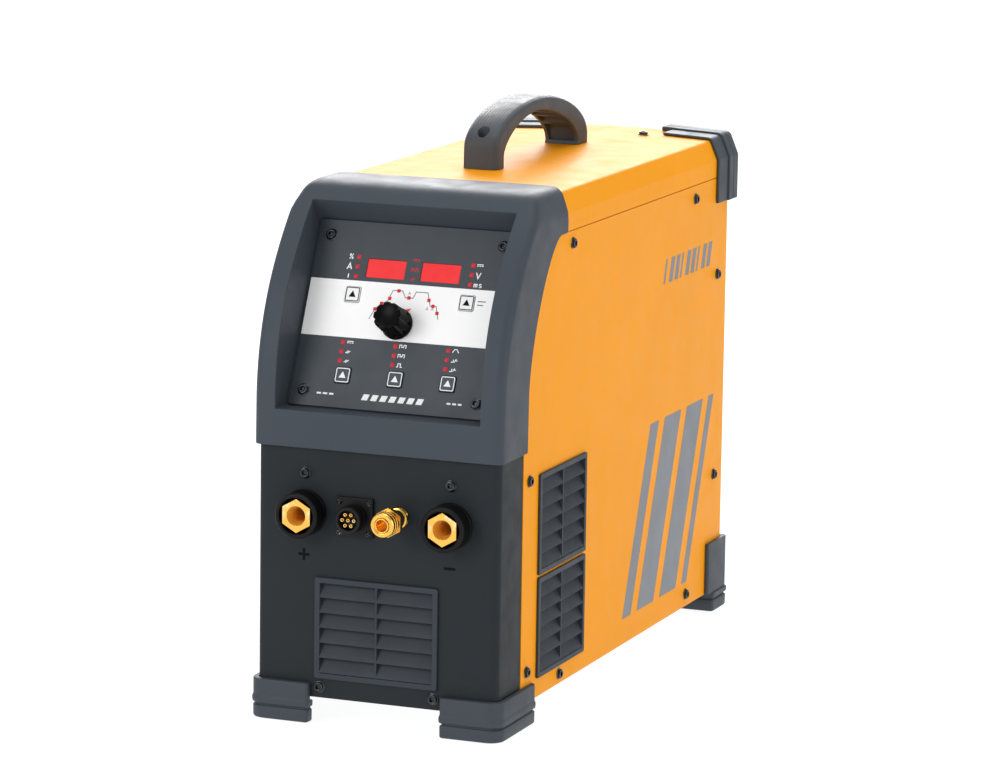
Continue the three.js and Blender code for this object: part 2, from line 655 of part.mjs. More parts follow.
function makeRear() {
  const back = rearPanelY - sheet - gap;
  const half = fanSize / 2;
  const square = roundedRectangle(-half, half, fanZ - half, fanZ + half, 6);
  const frame = cut(alongY(square, back - fanDepth, back, 3), [
    rodY(fanBore, back - fanDepth - 5, back + 5, 0, fanZ, 28),
    block(-half - 1, half + 1, back - fanDepth + 6, back - 6, fanZ - half - 1, fanZ - half + 8),
  ]);
  const motor = rodY(20, back - fanDepth + 2, back - fanDepth + 8, 0, fanZ, 16);
  const struts = [0.25, 0.75, 1.25, 1.75].map((turn) => {
    const bar = new THREE.BoxGeometry(46, 4, 6);
    bar.translate(38, back - fanDepth + 4, 0);
    bar.rotateY(turn * Math.PI);
    bar.translate(0, 0, fanZ);
    return solid(bar);
  });
  piece('fan_frame', join([frame, motor, ...struts]), blackPlastic);

  const blades = [];
  const count = 7;
  for (let i = 0; i < count; i += 1) {
    const blade = new THREE.BoxGeometry(36, 1.6, 28);
    blade.rotateX(-0.6);
    blade.translate(36.5, 0, 0);
    blade.rotateY(i * 2 * Math.PI / count);
    blade.translate(0, back - 17, fanZ);
    blades.push(solid(blade));
  }
  const hub = rodY(21, back - fanDepth + 9, back - 4, 0, fanZ, 16);
  const sweep = rodY(55, back - 40, back - 3, 0, fanZ, 20);
  piece('fan_rotor', join([hub, ...blades]).intersect(sweep), blackPlastic);

  const guardY = rearPanelY + 3.4;
  const rings = [18, 34, 50].map((radius) => {
    const ring = new THREE.TorusGeometry(radius, 1, 4, 18);
    ring.rotateX(Math.PI / 2);
    ring.translate(0, guardY, fanZ);
    return solid(ring);
  });
  const spokes = [0.25, 0.75].map((turn) => {
    const bar = new THREE.BoxGeometry(148, 1.6, 2.4);
    bar.rotateY(turn * Math.PI);
    bar.translate(0, guardY - 1.2, fanZ);
    return solid(bar);
  });
  const tabs = [-1, 1].flatMap((i) => [-1, 1].map((j) =>
    rodY(5.5, rearPanelY + gap, rearPanelY + 3, i * 52.5, fanZ + j * 52.5, 8)));
  piece('fan_guard', join([...rings, ...spokes, ...tabs]), wireSteel);

  const [sx, sz] = switchSpot;
  const plateShape = roundedRectangle(sx - 24, sx + 24, sz - 24, sz + 24, 4);
  const plate = alongY(plateShape, rearPanelY + gap, rearPanelY + 4, 3);
  const works = block(sx - 22, sx + 22, back - 46, back, sz - 22, sz + 22);
  const spindleTube = rodY(10.4, back - 2, rearPanelY + 2, sx, sz, 16);
  piece('power_switch_body', cut(join([plate, works, spindleTube]), [
    rodY(6.4, back - 12, rearPanelY + 9, sx, sz, 16),
  ]), blackPlastic);
  const dial = rodY(17, rearPanelY + 4.4, rearPanelY + 9, sx, sz, 20);
  const barShape = roundedRectangle(sx - 5.5, sx + 5.5, sz - 16, sz + 16, 4);
  const bar = alongY(barShape, rearPanelY + 8, rearPanelY + 23, 3);
  const spindle = rodY(6, back - 10, rearPanelY + 5, sx, sz, 12);
  piece('power_switch_knob', join([dial, bar, spindle]), blackPlastic);

  const [cx, cz] = glandSpot;
  const gland = turned([[7, rearPanelY + 24], [9.5, rearPanelY + 24], [12.5, rearPanelY + 19],
    [12.5, rearPanelY + 8], [14, rearPanelY + 7], [14, rearPanelY + gap], [10, rearPanelY + gap],
    [10, back - 10], [7, back - 10], [7, rearPanelY + 24]], cx, cz, 16);
  const glandNut = alongY(hexagon(27, cx, cz), back - 6.5, back)
    .subtract(rodY(9, back - 12, back + 6, cx, cz, 16));
  piece('cable_gland', join([gland, glandNut]), blackPlastic);

  const [ix, iz] = gasInletSpot;
  const barb = [];
  for (let i = 0; i < 3; i += 1) {
    const y = rearPanelY + 12 + i * 5;
    barb.push([4, y], [5.2, y + 0.6], [4, y + 4.6]);
  }
  const inlet = turned([[2.4, back - 14], [4.6, back - 14], [5, back - 13], [5, rearPanelY + gap],
    [9, rearPanelY + gap], [9, rearPanelY + 10], [4, rearPanelY + 10], ...barb, [4, rearmostY - 0.6],
    [3.4, rearmostY], [2.4, rearmostY], [2.4, back - 14]], ix, iz, 12);
  piece('gas_inlet', inlet, brass);
}

// Inside the case

function makeInside() {
  const deck = cut(block(-104, 104, 72, 520, deckZ, deckZ + 12), [
    block(-102.5, 102.5, 60, 540, deckZ + sheet, deckZ + 20),
    block(60, 96, 430, 500, deckZ - 5, deckZ + 5),
    rodZ(15, deckZ - 5, deckZ + 5, -76, 476, 12),
  ]);
  piece('inner_deck', deck, zincSteel);

  const [sinkNear, sinkFar] = heatsinkY;
  const finPitch = 13;
  const fins = [];
  for (let i = -7; i <= 7; i += 1) {
    fins.push(block(i * finPitch - 1.5, i * finPitch + 1.5, sinkNear, sinkFar, 12, 85));
  }
  piece('heatsink', join([block(-96, 96, sinkNear, sinkFar, 84, 94), ...fins]), aluminium);
  piece('power_board', block(-98, 98, sinkNear - 4, sinkFar + 4, boardZ, boardZ + 2), boardGreen);
  capacitorSpots.forEach(([x, y]) => {
    piece(x < 0 ? 'capacitor_left' : 'capacitor_right', rodZ(22, boardZ + 2.4, 176, x, y, 18), blackPlastic);
  });

  const core = cut(block(-46, 46, 96, 190, 16, 96), [
    block(-30, -13, 90, 200, 32, 80),
    block(13, 30, 90, 200, 32, 80),
  ]);
  piece('transformer_core', core, ferrite);
  const winding = cut(block(-28, 28, 84, 202, 34, 78), [block(-13.4, 13.4, 95.6, 190.4, 30, 82)]);
  piece('transformer_winding', winding, copper);

  const coil = turned([[12, 260], [26, 260], [26, 330], [12, 330], [12, 260]], 30, deckZ + 32, 18);
  piece('hf_coil', coil, copper);

  const [gx, gz] = gasSpot;
  const valveBlock = block(gx - 14, gx + 14, 25, 55, gz - 12, gz + 12);
  const valve = cut(join([valveBlock, rodZ(11, gz + 11, gz + 40, gx, 40, 16)]), [
    rodZ(4.6, gz + 8, gz + 50, gx, 40, 12),
    rodY(3, 45, 60, gx, gz, 12),
  ]);
  piece('gas_valve_body', valve, brass);
  piece('gas_valve_plunger', rodZ(4.2, gz + 12, gz + 36, gx, 40, 12), zincSteel);

  const route = new THREE.CatmullRomCurve3([[gx, 56.2, gz], [gx, 68, gz], [8, 78, 176], [-60, 96, 192],
    [-92, 140, 194], [-96, 300, 194], [-95, 440, 196], [-80, 472, 202], [-70, 480, 214], [-64, 500, 228],
    [-58, 532, 232], [-58, 547.8, 232]].map((p) => new THREE.Vector3(...p)));
  const section = new THREE.Shape().absarc(0, 0, 4, 0, 2 * Math.PI);
  const hose = new THREE.ExtrudeGeometry(section, { steps: 30, extrudePath: route, curveSegments: 4 });
  piece('gas_hose', solid(hose), hoseRubber);
}

makeCase();
makeHood();
makeFace();
makeEncoder();
makeSockets();
makeGrilles();
makeHandle();
makeFeet();
makeRear();
makeInside();

const welder = new THREE.Group();
welder.add(machine);

export default welder;
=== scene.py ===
"""Looks for the inverter TIG welding machine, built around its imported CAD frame.

Pieces are modelled in millimetres on a working plane (right, up, outward) and baked to metres.
"""

import json
import math

import bmesh
import bpy
from mathutils import Matrix, Vector


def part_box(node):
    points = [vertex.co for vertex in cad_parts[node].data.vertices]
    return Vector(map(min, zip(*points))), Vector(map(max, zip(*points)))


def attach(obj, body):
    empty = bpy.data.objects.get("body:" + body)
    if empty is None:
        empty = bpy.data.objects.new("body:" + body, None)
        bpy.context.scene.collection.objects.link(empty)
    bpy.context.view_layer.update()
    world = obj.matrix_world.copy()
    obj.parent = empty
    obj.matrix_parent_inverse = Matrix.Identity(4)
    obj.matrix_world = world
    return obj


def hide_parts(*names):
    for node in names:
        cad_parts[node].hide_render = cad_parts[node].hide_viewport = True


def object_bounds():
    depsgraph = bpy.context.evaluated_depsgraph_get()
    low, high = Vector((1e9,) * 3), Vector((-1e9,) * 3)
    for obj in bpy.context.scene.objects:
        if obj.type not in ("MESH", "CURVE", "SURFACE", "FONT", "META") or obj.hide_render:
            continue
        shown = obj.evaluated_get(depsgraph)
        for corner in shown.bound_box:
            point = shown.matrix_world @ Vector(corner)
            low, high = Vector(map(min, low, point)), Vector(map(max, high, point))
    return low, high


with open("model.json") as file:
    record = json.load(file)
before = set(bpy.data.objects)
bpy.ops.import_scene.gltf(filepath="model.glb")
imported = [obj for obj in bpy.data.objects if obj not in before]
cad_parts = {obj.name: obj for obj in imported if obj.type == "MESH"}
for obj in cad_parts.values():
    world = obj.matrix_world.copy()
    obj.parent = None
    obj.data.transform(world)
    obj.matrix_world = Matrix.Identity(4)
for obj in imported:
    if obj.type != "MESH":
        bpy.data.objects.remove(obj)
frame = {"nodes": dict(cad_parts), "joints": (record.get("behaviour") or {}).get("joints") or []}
cad_low, cad_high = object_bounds()
nodes = frame["nodes"]
joints = {j["name"]: j for j in frame["joints"]}

MM = 0.001

# Working planes. Each matrix takes (right, up, outward) in millimetres to the row frame in metres.
SIDE_DROP = 3.0
CASE_ORIGIN = Vector((0.0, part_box("front_panel")[0].y,
                      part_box("side_panel_right")[0].z + SIDE_DROP * MM))


def plane(origin, right, up):
    out = Vector(right).cross(Vector(up))
    turn = Matrix((right, up, out)).transposed().to_4x4()
    return Matrix.Translation(origin) @ turn @ Matrix.Scale(MM, 4)


def case_point(x, y, z):
    """A point in mm: x right, y behind the lower front panel's face, z above the case's bottom edge."""
    return CASE_ORIGIN + Vector((x, y, z)) * MM


press_axis = Vector(joints["knob_press"]["axis"]).normalized()
face_slope = Vector((0, -press_axis.z, press_axis.y))
KNOB_AT = (-4.0, 17.0)
face_origin = Vector(joints["knob_turn"]["pos_m"]) - (
    Vector((1, 0, 0)) * KNOB_AT[0] + face_slope * KNOB_AT[1]
) * MM

side_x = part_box("side_panel_right")[1].x / MM
rear_y = (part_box("side_panel_right")[1].y - CASE_ORIGIN.y) / MM
rear_panel_y = (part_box("rear_panel")[1].y - CASE_ORIGIN.y) / MM
seam_z = (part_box("top_cover")[0].z - CASE_ORIGIN.z) / MM
roof_z = (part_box("top_cover")[1].z - CASE_ORIGIN.z) / MM

FRONT = plane(CASE_ORIGIN, (1, 0, 0), (0, 0, 1))
FACE = plane(face_origin, (1, 0, 0), face_slope)
REAR = plane(case_point(0, rear_panel_y, 0), (-1, 0, 0), (0, 0, 1))
RIGHT = plane(case_point(side_x, 0, 0), (0, 1, 0), (0, 0, 1))
LEFT = plane(case_point(-side_x, 0, 0), (0, -1, 0), (0, 0, 1))
ROOF = plane(case_point(0, 0, roof_z), (1, 0, 0), (0, 1, 0))
CASE = plane(CASE_ORIGIN, (1, 0, 0), (0, 1, 0))
MIRROR_X = Matrix.Scale(-1, 4, (1, 0, 0))


# Outlines


def arc(cx, cy, radius, start, end, steps):
    turns = [math.radians(start + (end - start) * i / steps) for i in range(steps + 1)]
    return [(cx + radius * math.cos(t), cy + radius * math.sin(t)) for t in turns]


def rounded(points, radius, steps=5, closed=True):
    """Points with each corner turned into an arc. A corner may give its own radius as a third number."""
    made = []
    count = len(points)
    for i, point in enumerate(points):
        here = Vector(point[:2])
        r = point[2] if len(point) > 2 else radius
        if r <= 0 or (not closed and i in (0, count - 1)):
            made.append(tuple(here))
            continue
        back = (Vector(points[i - 1][:2]) - here).normalized()
        ahead = (Vector(points[(i + 1) % count][:2]) - here).normalized()
        half = back.angle(ahead) / 2
        if half > math.radians(89):
            made.append(tuple(here))
            continue
        reach = r / math.tan(half)
        centre = here + (back + ahead).normalized() * (r / math.sin(half))
        first = here + back * reach - centre
        last = here + ahead * reach - centre
        sweep = first.angle_signed(last)
        for k in range(steps + 1):
            turn = Matrix.Rotation(-sweep * k / steps, 2)
            made.append(tuple(centre + turn @ first))
    return made


def rectangle(width, height, radius, cx=0.0, cy=0.0, steps=5):
    w, h = width / 2, height / 2
    corners = [(cx - w, cy - h), (cx + w, cy - h), (cx + w, cy + h), (cx - w, cy + h)]
    return rounded(corners, radius, steps)


def polygon(count, radius, cx=0.0, cy=0.0, start=90.0):
    turns = [math.radians(start + 360 * i / count) for i in range(count)]
    return [(cx + radius * math.cos(t), cy + radius * math.sin(t)) for t in turns]


def bezier(p0, p1, p2, p3, steps):
    made = []
    for i in range(steps + 1):
        t = i / steps
        weights = ((1 - t) ** 3, 3 * t * (1 - t) ** 2, 3 * t * t * (1 - t), t**3)
        made.append(tuple(sum(w * p[k] for w, p in zip(weights, (p0, p1, p2, p3))) for k in (0, 1)))
    return made


def offset_line(points, distance):
    """An open line moved to the left of its direction."""
    line = [Vector(p) for p in points]
    normals = []
    for a, b in zip(line, line[1:]):
        along = (b - a).normalized()
        normals.append(Vector((-along.y, along.x)))
    moved = []
    for i, point in enumerate(line):
        before = normals[max(i - 1, 0)]
        after = normals[min(i, len(normals) - 1)]
        middle = (before + after).normalized()
        moved.append(tuple(point + middle * (distance / middle.dot(before))))
    return moved


# Meshes


def mesh_of(bm, matrix=None, smooth_angle=30.0):
    """Bakes a bmesh in millimetres into a mesh in metres, with its faces turned outwards."""
    if matrix is not None:
        bm.transform(matrix)
    bmesh.ops.recalc_face_normals(bm, faces=bm.faces)
    mesh = bpy.data.meshes.new("mesh")
    bm.to_mesh(mesh)
    bm.free()
    for face in mesh.polygons:
        face.use_smooth = True
    mesh.set_sharp_from_angle(angle=math.radians(smooth_angle))
    return mesh


def piece(name, mesh, material, body="root", slot=None, replaces=()):
    """Adds a visible piece that rides a body. A slot is looked up from its finish unless one is given, but the
    piece does not keep it.
    """
    made = bpy.data.objects.new(name, mesh)
    bpy.context.scene.collection.objects.link(made)
    if not mesh.materials:
        mesh.materials.append(material)
    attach(made, body)
    slot = slot or SLOTS.get(material.name)
    if replaces:
        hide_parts(*replaces)
    return made


def soften(made, width, segments=3, angle=35.0):
    """Rounds the sharp edges of a piece; width is in mm."""
    bevel = made.modifiers.new("edges", "BEVEL")
    bevel.width = width * MM
    bevel.segments = segments
    bevel.limit_method = "ANGLE"
    bevel.angle_limit = math.radians(angle)
    bevel.harden_normals = True
    bevel.miter_outer = "MITER_ARC"
    return made


def add_prism(bm, outline, low, high):
    """An outline carried outwards from low to high."""
    bottom = [bm.verts.new((x, y, low)) for x, y in outline]
    lid = [bm.verts.new((x, y, high)) for x, y in outline]
    count = len(outline)
    for i in range(count):
        j = (i + 1) % count
        bm.faces.new((bottom[i], bottom[j], lid[j], lid[i]))
    bm.faces.new(bottom[::-1])
    bm.faces.new(lid)
    return bm


def prism(outline, low, high):
    return add_prism(bmesh.new(), outline, low, high)


def add_loops(bm, loops, closed=False):
    """Skins a list of point loops that all have as many points; closed joins the last to the first."""
    rows = [[bm.verts.new(p) for p in loop] for loop in loops]
    count = len(rows[0])
    pairs = list(zip(rows, rows[1:])) + ([(rows[-1], rows[0])] if closed else [])
    for low, high in pairs:
        for i in range(count):
            j = (i + 1) % count
            bm.faces.new((low[i], low[j], high[j], high[i]))
    if not closed:
        bm.faces.new(rows[0][::-1])
        bm.faces.new(rows[-1])
    return bm


def add_lathe(bm, profile, cx=0.0, cy=0.0, steps=48):
    """A closed profile of (radius, outward) points turned about the outward axis at (cx, cy)."""
    rings = []
    for radius, out in profile:
        if radius < 1e-6:
            rings.append([bm.verts.new((cx, cy, out))])
            continue
        turns = [2 * math.pi * i / steps for i in range(steps)]
        rings.append([bm.verts.new((cx + radius * math.cos(t), cy + radius * math.sin(t),
                                    out)) for t in turns])
    on_axis = len(rings[0]) == 1 and len(rings[-1]) == 1
    pairs = list(zip(rings, rings[1:])) + ([] if on_axis else [(rings[-1], rings[0])])
    for a, b in pairs:
        for i in range(steps):
            j = (i + 1) % steps
            if len(a) == 1 and len(b) == 1:
                break
            if len(a) == 1:
                bm.faces.new((a[0], b[i], b[j]))
            elif len(b) == 1:
                bm.faces.new((a[i], a[j], b[0]))
            else:
                bm.faces.new((a[i], a[j], b[j], b[i]))
    return bm


def lathe(profile, cx=0.0, cy=0.0, steps=48):
    return add_lathe(bmesh.new(), profile, cx, cy, steps)


def carve(made, cutters):
    """Cuts bmeshes, already in the row frame, out of a piece."""
    for bm in cutters:
        bmesh.ops.recalc_face_normals(bm, faces=bm.faces)
        tool_mesh = bpy.data.meshes.new("tool")
        bm.to_mesh(tool_mesh)
        bm.free()
        tool = bpy.data.objects.new("tool", tool_mesh)
        bpy.context.scene.collection.objects.link(tool)
        cut = made.modifiers.new("cut", "BOOLEAN")
        cut.operation = "DIFFERENCE"
        cut.solver = "EXACT"
        cut.object = tool
        depsgraph = bpy.context.evaluated_depsgraph_get()
        result = bpy.data.meshes.new_from_object(made.evaluated_get(depsgraph))
        made.modifiers.clear()
        made.data = result
        bpy.data.objects.remove(tool)
    made.data.set_sharp_from_angle(angle=math.radians(30))
    return made


def tool_prism(outline, low, high, matrix):
    bm = prism(outline, low, high)
    bm.transform(matrix)
    return bm


# Materials


def colour_of(code):
    """A linear colour from an sRGB hex code."""
    parts = [int(code[i : i + 2], 16) / 255 for i in (0, 2, 4)]
    return [p / 12.92 if p <= 0.04045 else ((p + 0.055) / 1.055) ** 2.4 for p in parts]


class Nodes:
    """A material's node tree with short calls for adding and linking nodes."""

    def __init__(self, name):
        self.material = bpy.data.materials.new(name)
        self.material.use_nodes = True
        self.tree = self.material.node_tree
        self.shader = self.tree.nodes["Principled BSDF"]
        self.place = self.add("ShaderNodeTexCoord").outputs["Object"]

    def add(self, kind, **values):
        node = self.tree.nodes.new(kind)
        for key, value in values.items():
            setattr(node, key, value)
        return node

    def link(self, output, target):
        self.tree.links.new(output, target)

    def noise(self, scale, detail=3.0, stretch=(1, 1, 1)):
        mapping = self.add("ShaderNodeMapping")
        mapping.inputs["Scale"].default_value = stretch
        self.link(self.place, mapping.inputs["Vector"])
        node = self.add("ShaderNodeTexNoise")
        node.inputs["Scale"].default_value = scale
        node.inputs["Detail"].default_value = detail
        self.link(mapping.outputs["Vector"], node.inputs["Vector"])
        return node.outputs["Fac"]

    def spread(self, value, low, high, start=0.3, end=0.7):
        node = self.add("ShaderNodeMapRange")
        node.inputs["From Min"].default_value = start
        node.inputs["From Max"].default_value = end
        node.inputs["To Min"].default_value = low
        node.inputs["To Max"].default_value = high
        self.link(value, node.inputs["Value"])
        return node.outputs["Result"]

    def ramp(self, value, stops):
        node = self.add("ShaderNodeValToRGB")
        elements = node.color_ramp.elements
        for i, (position, colour) in enumerate(stops):
            element = elements[i] if i < 2 else elements.new(position)
            element.position = position
            element.color = (*colour, 1)
        self.link(value, node.inputs["Fac"])
        return node.outputs["Color"]

    def mix(self, amount, first, second):
        node = self.add("ShaderNodeMix", data_type="RGBA")
        self.link(amount, node.inputs["Factor"])
        for value, socket in ((first, node.inputs[6]), (second, node.inputs[7])):
            if isinstance(value, bpy.types.NodeSocket):
                self.link(value, socket)
            else:
                socket.default_value = (*value, 1)
        return node.outputs[2]

    def times(self, first, second):
        node = self.add("ShaderNodeMath", operation="MULTIPLY")
        for value, socket in zip((first, second), node.inputs):
            if isinstance(value, bpy.types.NodeSocket):
                self.link(value, socket)
            else:
                socket.default_value = value
        return node.outputs["Value"]

    def bump(self, height, strength, depth_mm, under=None):
        node = self.add("ShaderNodeBump")
        node.inputs["Strength"].default_value = strength
        node.inputs["Distance"].default_value = depth_mm * MM
        self.link(height, node.inputs["Height"])
        if under:
            self.link(under, node.inputs["Normal"])
        self.link(node.outputs["Normal"], self.shader.inputs["Normal"])
        return node.outputs["Normal"]

    def set(self, name, value):
        self.shader.inputs[name].default_value = value


def finish(name, code, roughness, metallic=0.0, patchy=0.05, grain=1500.0, bump=0.25, wear_and_glint=None,
           swing=0.06, stretch=(1, 1, 1), gloss=0.5):
    """Slow colour patches, uneven roughness and fine grain, with lighter edges where an edge colour is given:
    rubbed edges on the knob and socket ring, painted glints on the screws, and partly rubbed, partly painted
    highlight on the brass.
    """
    n = Nodes(name)
    base = colour_of(code)
    dark = [c * (1 - patchy) for c in base]
    light = [min(c * (1 + patchy), 1.0) for c in base]
    colour = n.ramp(n.noise(9, 5, stretch), ((0.32, dark), (0.68, light)))
    # Lighter edges from pointiness: rubbed edges on some finishes, a painted glint on others.
    if wear_and_glint:
        edge = n.spread(n.add("ShaderNodeNewGeometry").outputs["Pointiness"], 0, 1, 0.54, 0.62)
        scuff_and_glint = n.times(edge, n.spread(n.noise(160, 6), 0, 0.8, 0.46, 0.62))
        colour = n.mix(scuff_and_glint, colour, colour_of(wear_and_glint))
    n.link(colour, n.shader.inputs["Base Color"])
    n.link(n.spread(n.noise(45, 4, stretch), roughness - swing, roughness + swing),
           n.shader.inputs["Roughness"])
    n.set("Metallic", metallic)
    n.set("Specular IOR Level", gloss)
    n.bump(n.noise(grain, 2, stretch), bump, 0.25)
    return n.material


def lamp_finish(name, code, strength):
    """A lit lens: a coloured glow, a little uneven, under a glossy face."""
    n = Nodes(name)
    glow = colour_of(code)
    n.link(n.ramp(n.noise(120, 2), ((0.3, [c * 0.94 for c in glow]), (0.7, glow))),
           n.shader.inputs["Emission Color"])
    n.shader.inputs["Base Color"].default_value = (*colour_of("3a0a0c"), 1)
    n.set("Emission Strength", strength)
    n.set("Specular IOR Level", 0.15)
    n.link(n.spread(n.noise(60, 2), 0.16, 0.24), n.shader.inputs["Roughness"])
    return n.material


def wire_finish(name, code, roughness):
    """Bright drawn wire with fine length-wise streaks."""
    return finish(name, code, roughness, 1.0, 0.08, 900, 0.12, stretch=(1, 6, 1))


def board_finish(name):
    """Green solder mask with copper tracks showing through as slightly raised lines."""
    n = Nodes(name)
    tracks = n.add("ShaderNodeTexBrick", offset=0.35)
    tracks.inputs["Scale"].default_value = 90
    tracks.inputs["Mortar Size"].default_value = 0.03
    tracks.inputs["Color1"].default_value = (*colour_of("1c5437"), 1)
    tracks.inputs["Color2"].default_value = (*colour_of("236843"), 1)
    tracks.inputs["Mortar"].default_value = (*colour_of("3c8a5c"), 1)
    n.link(n.place, tracks.inputs["Vector"])
    n.link(tracks.outputs["Color"], n.shader.inputs["Base Color"])
    n.link(n.spread(n.noise(200), 0.35, 0.5), n.shader.inputs["Roughness"])
    n.bump(tracks.outputs["Fac"], 0.4, 0.1)
    return n.material


def winding_finish(name, code):
    """Enamelled wire laid turn by turn, with painted shade darkening the grooves between turns."""
    n = Nodes(name)
    turns = n.add("ShaderNodeTexWave", bands_direction="Z")
    turns.inputs["Scale"].default_value = 130
    turns.inputs["Distortion"].default_value = 0.4
    n.link(n.place, turns.inputs["Vector"])
    base = colour_of(code)
    # Darker stripes between turns: painted shade in the grooves between wires.
    n.link(n.ramp(turns.outputs["Fac"], ((0.1, [c * 0.35 for c in base]), (0.6, base))),
           n.shader.inputs["Base Color"])
    n.set("Metallic", 0.85)
    n.link(n.spread(n.noise(80), 0.28, 0.42), n.shader.inputs["Roughness"])
    n.bump(turns.outputs["Fac"], 0.8, 0.6)
    return n.material


def handle_finish(name, code):
    """Moulded grip plastic with fine lines along the handle."""
    n = Nodes(name)
    base = colour_of(code)
    lines = n.add("ShaderNodeTexWave", bands_direction="X")
    lines.inputs["Scale"].default_value = 110
    lines.inputs["Distortion"].default_value = 0.6
    lines.inputs["Detail"].default_value = 1.0
    n.link(n.place, lines.inputs["Vector"])
    patches = n.ramp(n.noise(12, 4), ((0.3, [c * 0.94 for c in base]), (0.7, [c * 1.05 for c in base])))
    n.link(patches, n.shader.inputs["Base Color"])
    n.link(n.spread(n.noise(50), 0.42, 0.56), n.shader.inputs["Roughness"])
    n.set("Specular IOR Level", 0.25)
    grain = n.bump(n.noise(1400, 2), 0.25, 0.2)
    n.bump(lines.outputs["Fac"], 0.22, 0.5, grain)
    return n.material


orange_paint = finish("orange_powder_coat", "f29c12", 0.44, patchy=0.02, grain=700, bump=0.08,
                      gloss=0.06)
hood_plastic = finish("hood_moulding", "40474f", 0.5, patchy=0.035, grain=1300, bump=0.2, gloss=0.2)
panel_paint = finish("charcoal_powder_coat", "24292d", 0.52, patchy=0.035, grain=800, bump=0.14,
                     gloss=0.16)
trim_plastic = finish("trim_moulding", "3e454c", 0.5, patchy=0.04, grain=1200, bump=0.25, gloss=0.22)
grille_plastic = finish("grille_moulding", "353b42", 0.5, patchy=0.04, grain=1200, bump=0.2, gloss=0.2)
handle_plastic = handle_finish("handle_moulding", "45494e")
plate_paint = finish("control_plate_coat", "3a4148", 0.42, patchy=0.025, grain=1800, bump=0.1,
                     gloss=0.35)
band_print = finish("white_screen_print", "fbfbfb", 0.38, patchy=0.015, grain=1600, bump=0.06)
white_print = finish("white_legend_ink", "f2f3f4", 0.45, patchy=0.02, grain=1600, bump=0.06)
grey_print = finish("grey_legend_ink", "707076", 0.45, patchy=0.04, grain=1600, bump=0.06, gloss=0.3)
black_print = finish("black_legend_ink", "040405", 0.5, patchy=0.05, grain=1600, bump=0.06, gloss=0.1)
decal_film = finish("grey_vinyl_film", "7d8187", 0.44, patchy=0.03, grain=500, bump=0.05, gloss=0.16)
black_plastic = finish("black_moulding", "0a0a0b", 0.42, patchy=0.1, grain=1400, bump=0.2, gloss=0.25)
knob_plastic = finish("knob_moulding", "030304", 0.36, patchy=0.1, grain=1500, bump=0.1, wear_and_glint="202123",
                      gloss=0.1)
socket_rubber = finish("socket_moulding", "070708", 0.46, patchy=0.1, grain=1400, bump=0.2,
                       wear_and_glint="202225", gloss=0.2)
# Screws: the near-white edge colour is a painted glint on the head and flange rims.
black_screw = finish("blackened_screw", "3a3c40", 0.24, 1.0, 0.12, 2400, 0.15, wear_and_glint="e4e6e8")
pale_key = finish("pale_key_cap", "f3f3f4", 0.38, patchy=0.02, grain=1700, bump=0.08)
dark_key = finish("dark_key_cap", "3f464d", 0.42, patchy=0.04, grain=1700, bump=0.1, gloss=0.35)
# Brass: the pale cream edges are partly rubbed metal and partly painted highlight.
brass = finish("machined_brass", "f3bd5c", 0.22, 1.0, 0.06, 1100, 0.08, wear_and_glint="fff0c4", swing=0.05,
               stretch=(1, 1, 4))
# Bore brass: a lighter, less metallic copy of the brass, a painted highlight that lifts the shaded inside of
# the bore.
painted_bright_brass = finish("bore_brass_painted_bright", "ffbe4a", 0.42, 0.3, 0.08, 900, 0.2)
zinc_steel = finish("galvanised_sheet", "b4b9be", 0.4, 0.9, 0.14, 240, 0.12)
aluminium = finish("extruded_aluminium", "c6cace", 0.36, 1.0, 0.06, 500, 0.2, stretch=(1, 0.06, 1))
bright_wire = wire_finish("drawn_steel_wire", "c9ccd0", 0.24)
ferrite = finish("ferrite_block", "39393c", 0.7, 0.1, 0.2, 700, 0.5)
hose_rubber = finish("hose_rubber", "1b1c1f", 0.62, patchy=0.12, grain=900, bump=0.4)
capacitor_sleeve = finish("capacitor_sleeve", "1a2740", 0.35, patchy=0.08, grain=900, bump=0.1)
copper = winding_finish("copper_winding", "b96a35")
circuit_board = board_finish("circuit_board")
display_glow = lamp_finish("display_glow", "fb3d40", 0.93)
lamp_red = lamp_finish("lamp_red", "dc3440", 0.8)

# The colour slot of each finish. Legends take the slot of what they are printed on.
SLOTS = {
    "orange_powder_coat": "orange_paint", "charcoal_powder_coat": "charcoal_paint",
    "hood_moulding": "hood_plastic", "trim_moulding": "trim_plastic", "handle_moulding": "trim_plastic",
    "grille_moulding": "grille_plastic", "control_plate_coat": "face_plate",
    "white_screen_print": "face_plate", "grey_legend_ink": "face_plate",
    "black_moulding": "black_plastic", "socket_moulding": "black_plastic",
    "knob_moulding": "knob_plastic", "blackened_screw": "black_screw", "pale_key_cap": "key_silicone",
    "dark_key_cap": "key_silicone", "machined_brass": "brass", "bore_brass_painted_bright": "brass",
    "drawn_steel_wire": "bright_wire", "display_glow": "display_lens", "lamp_red": "display_lens",
}


# Shared small pieces


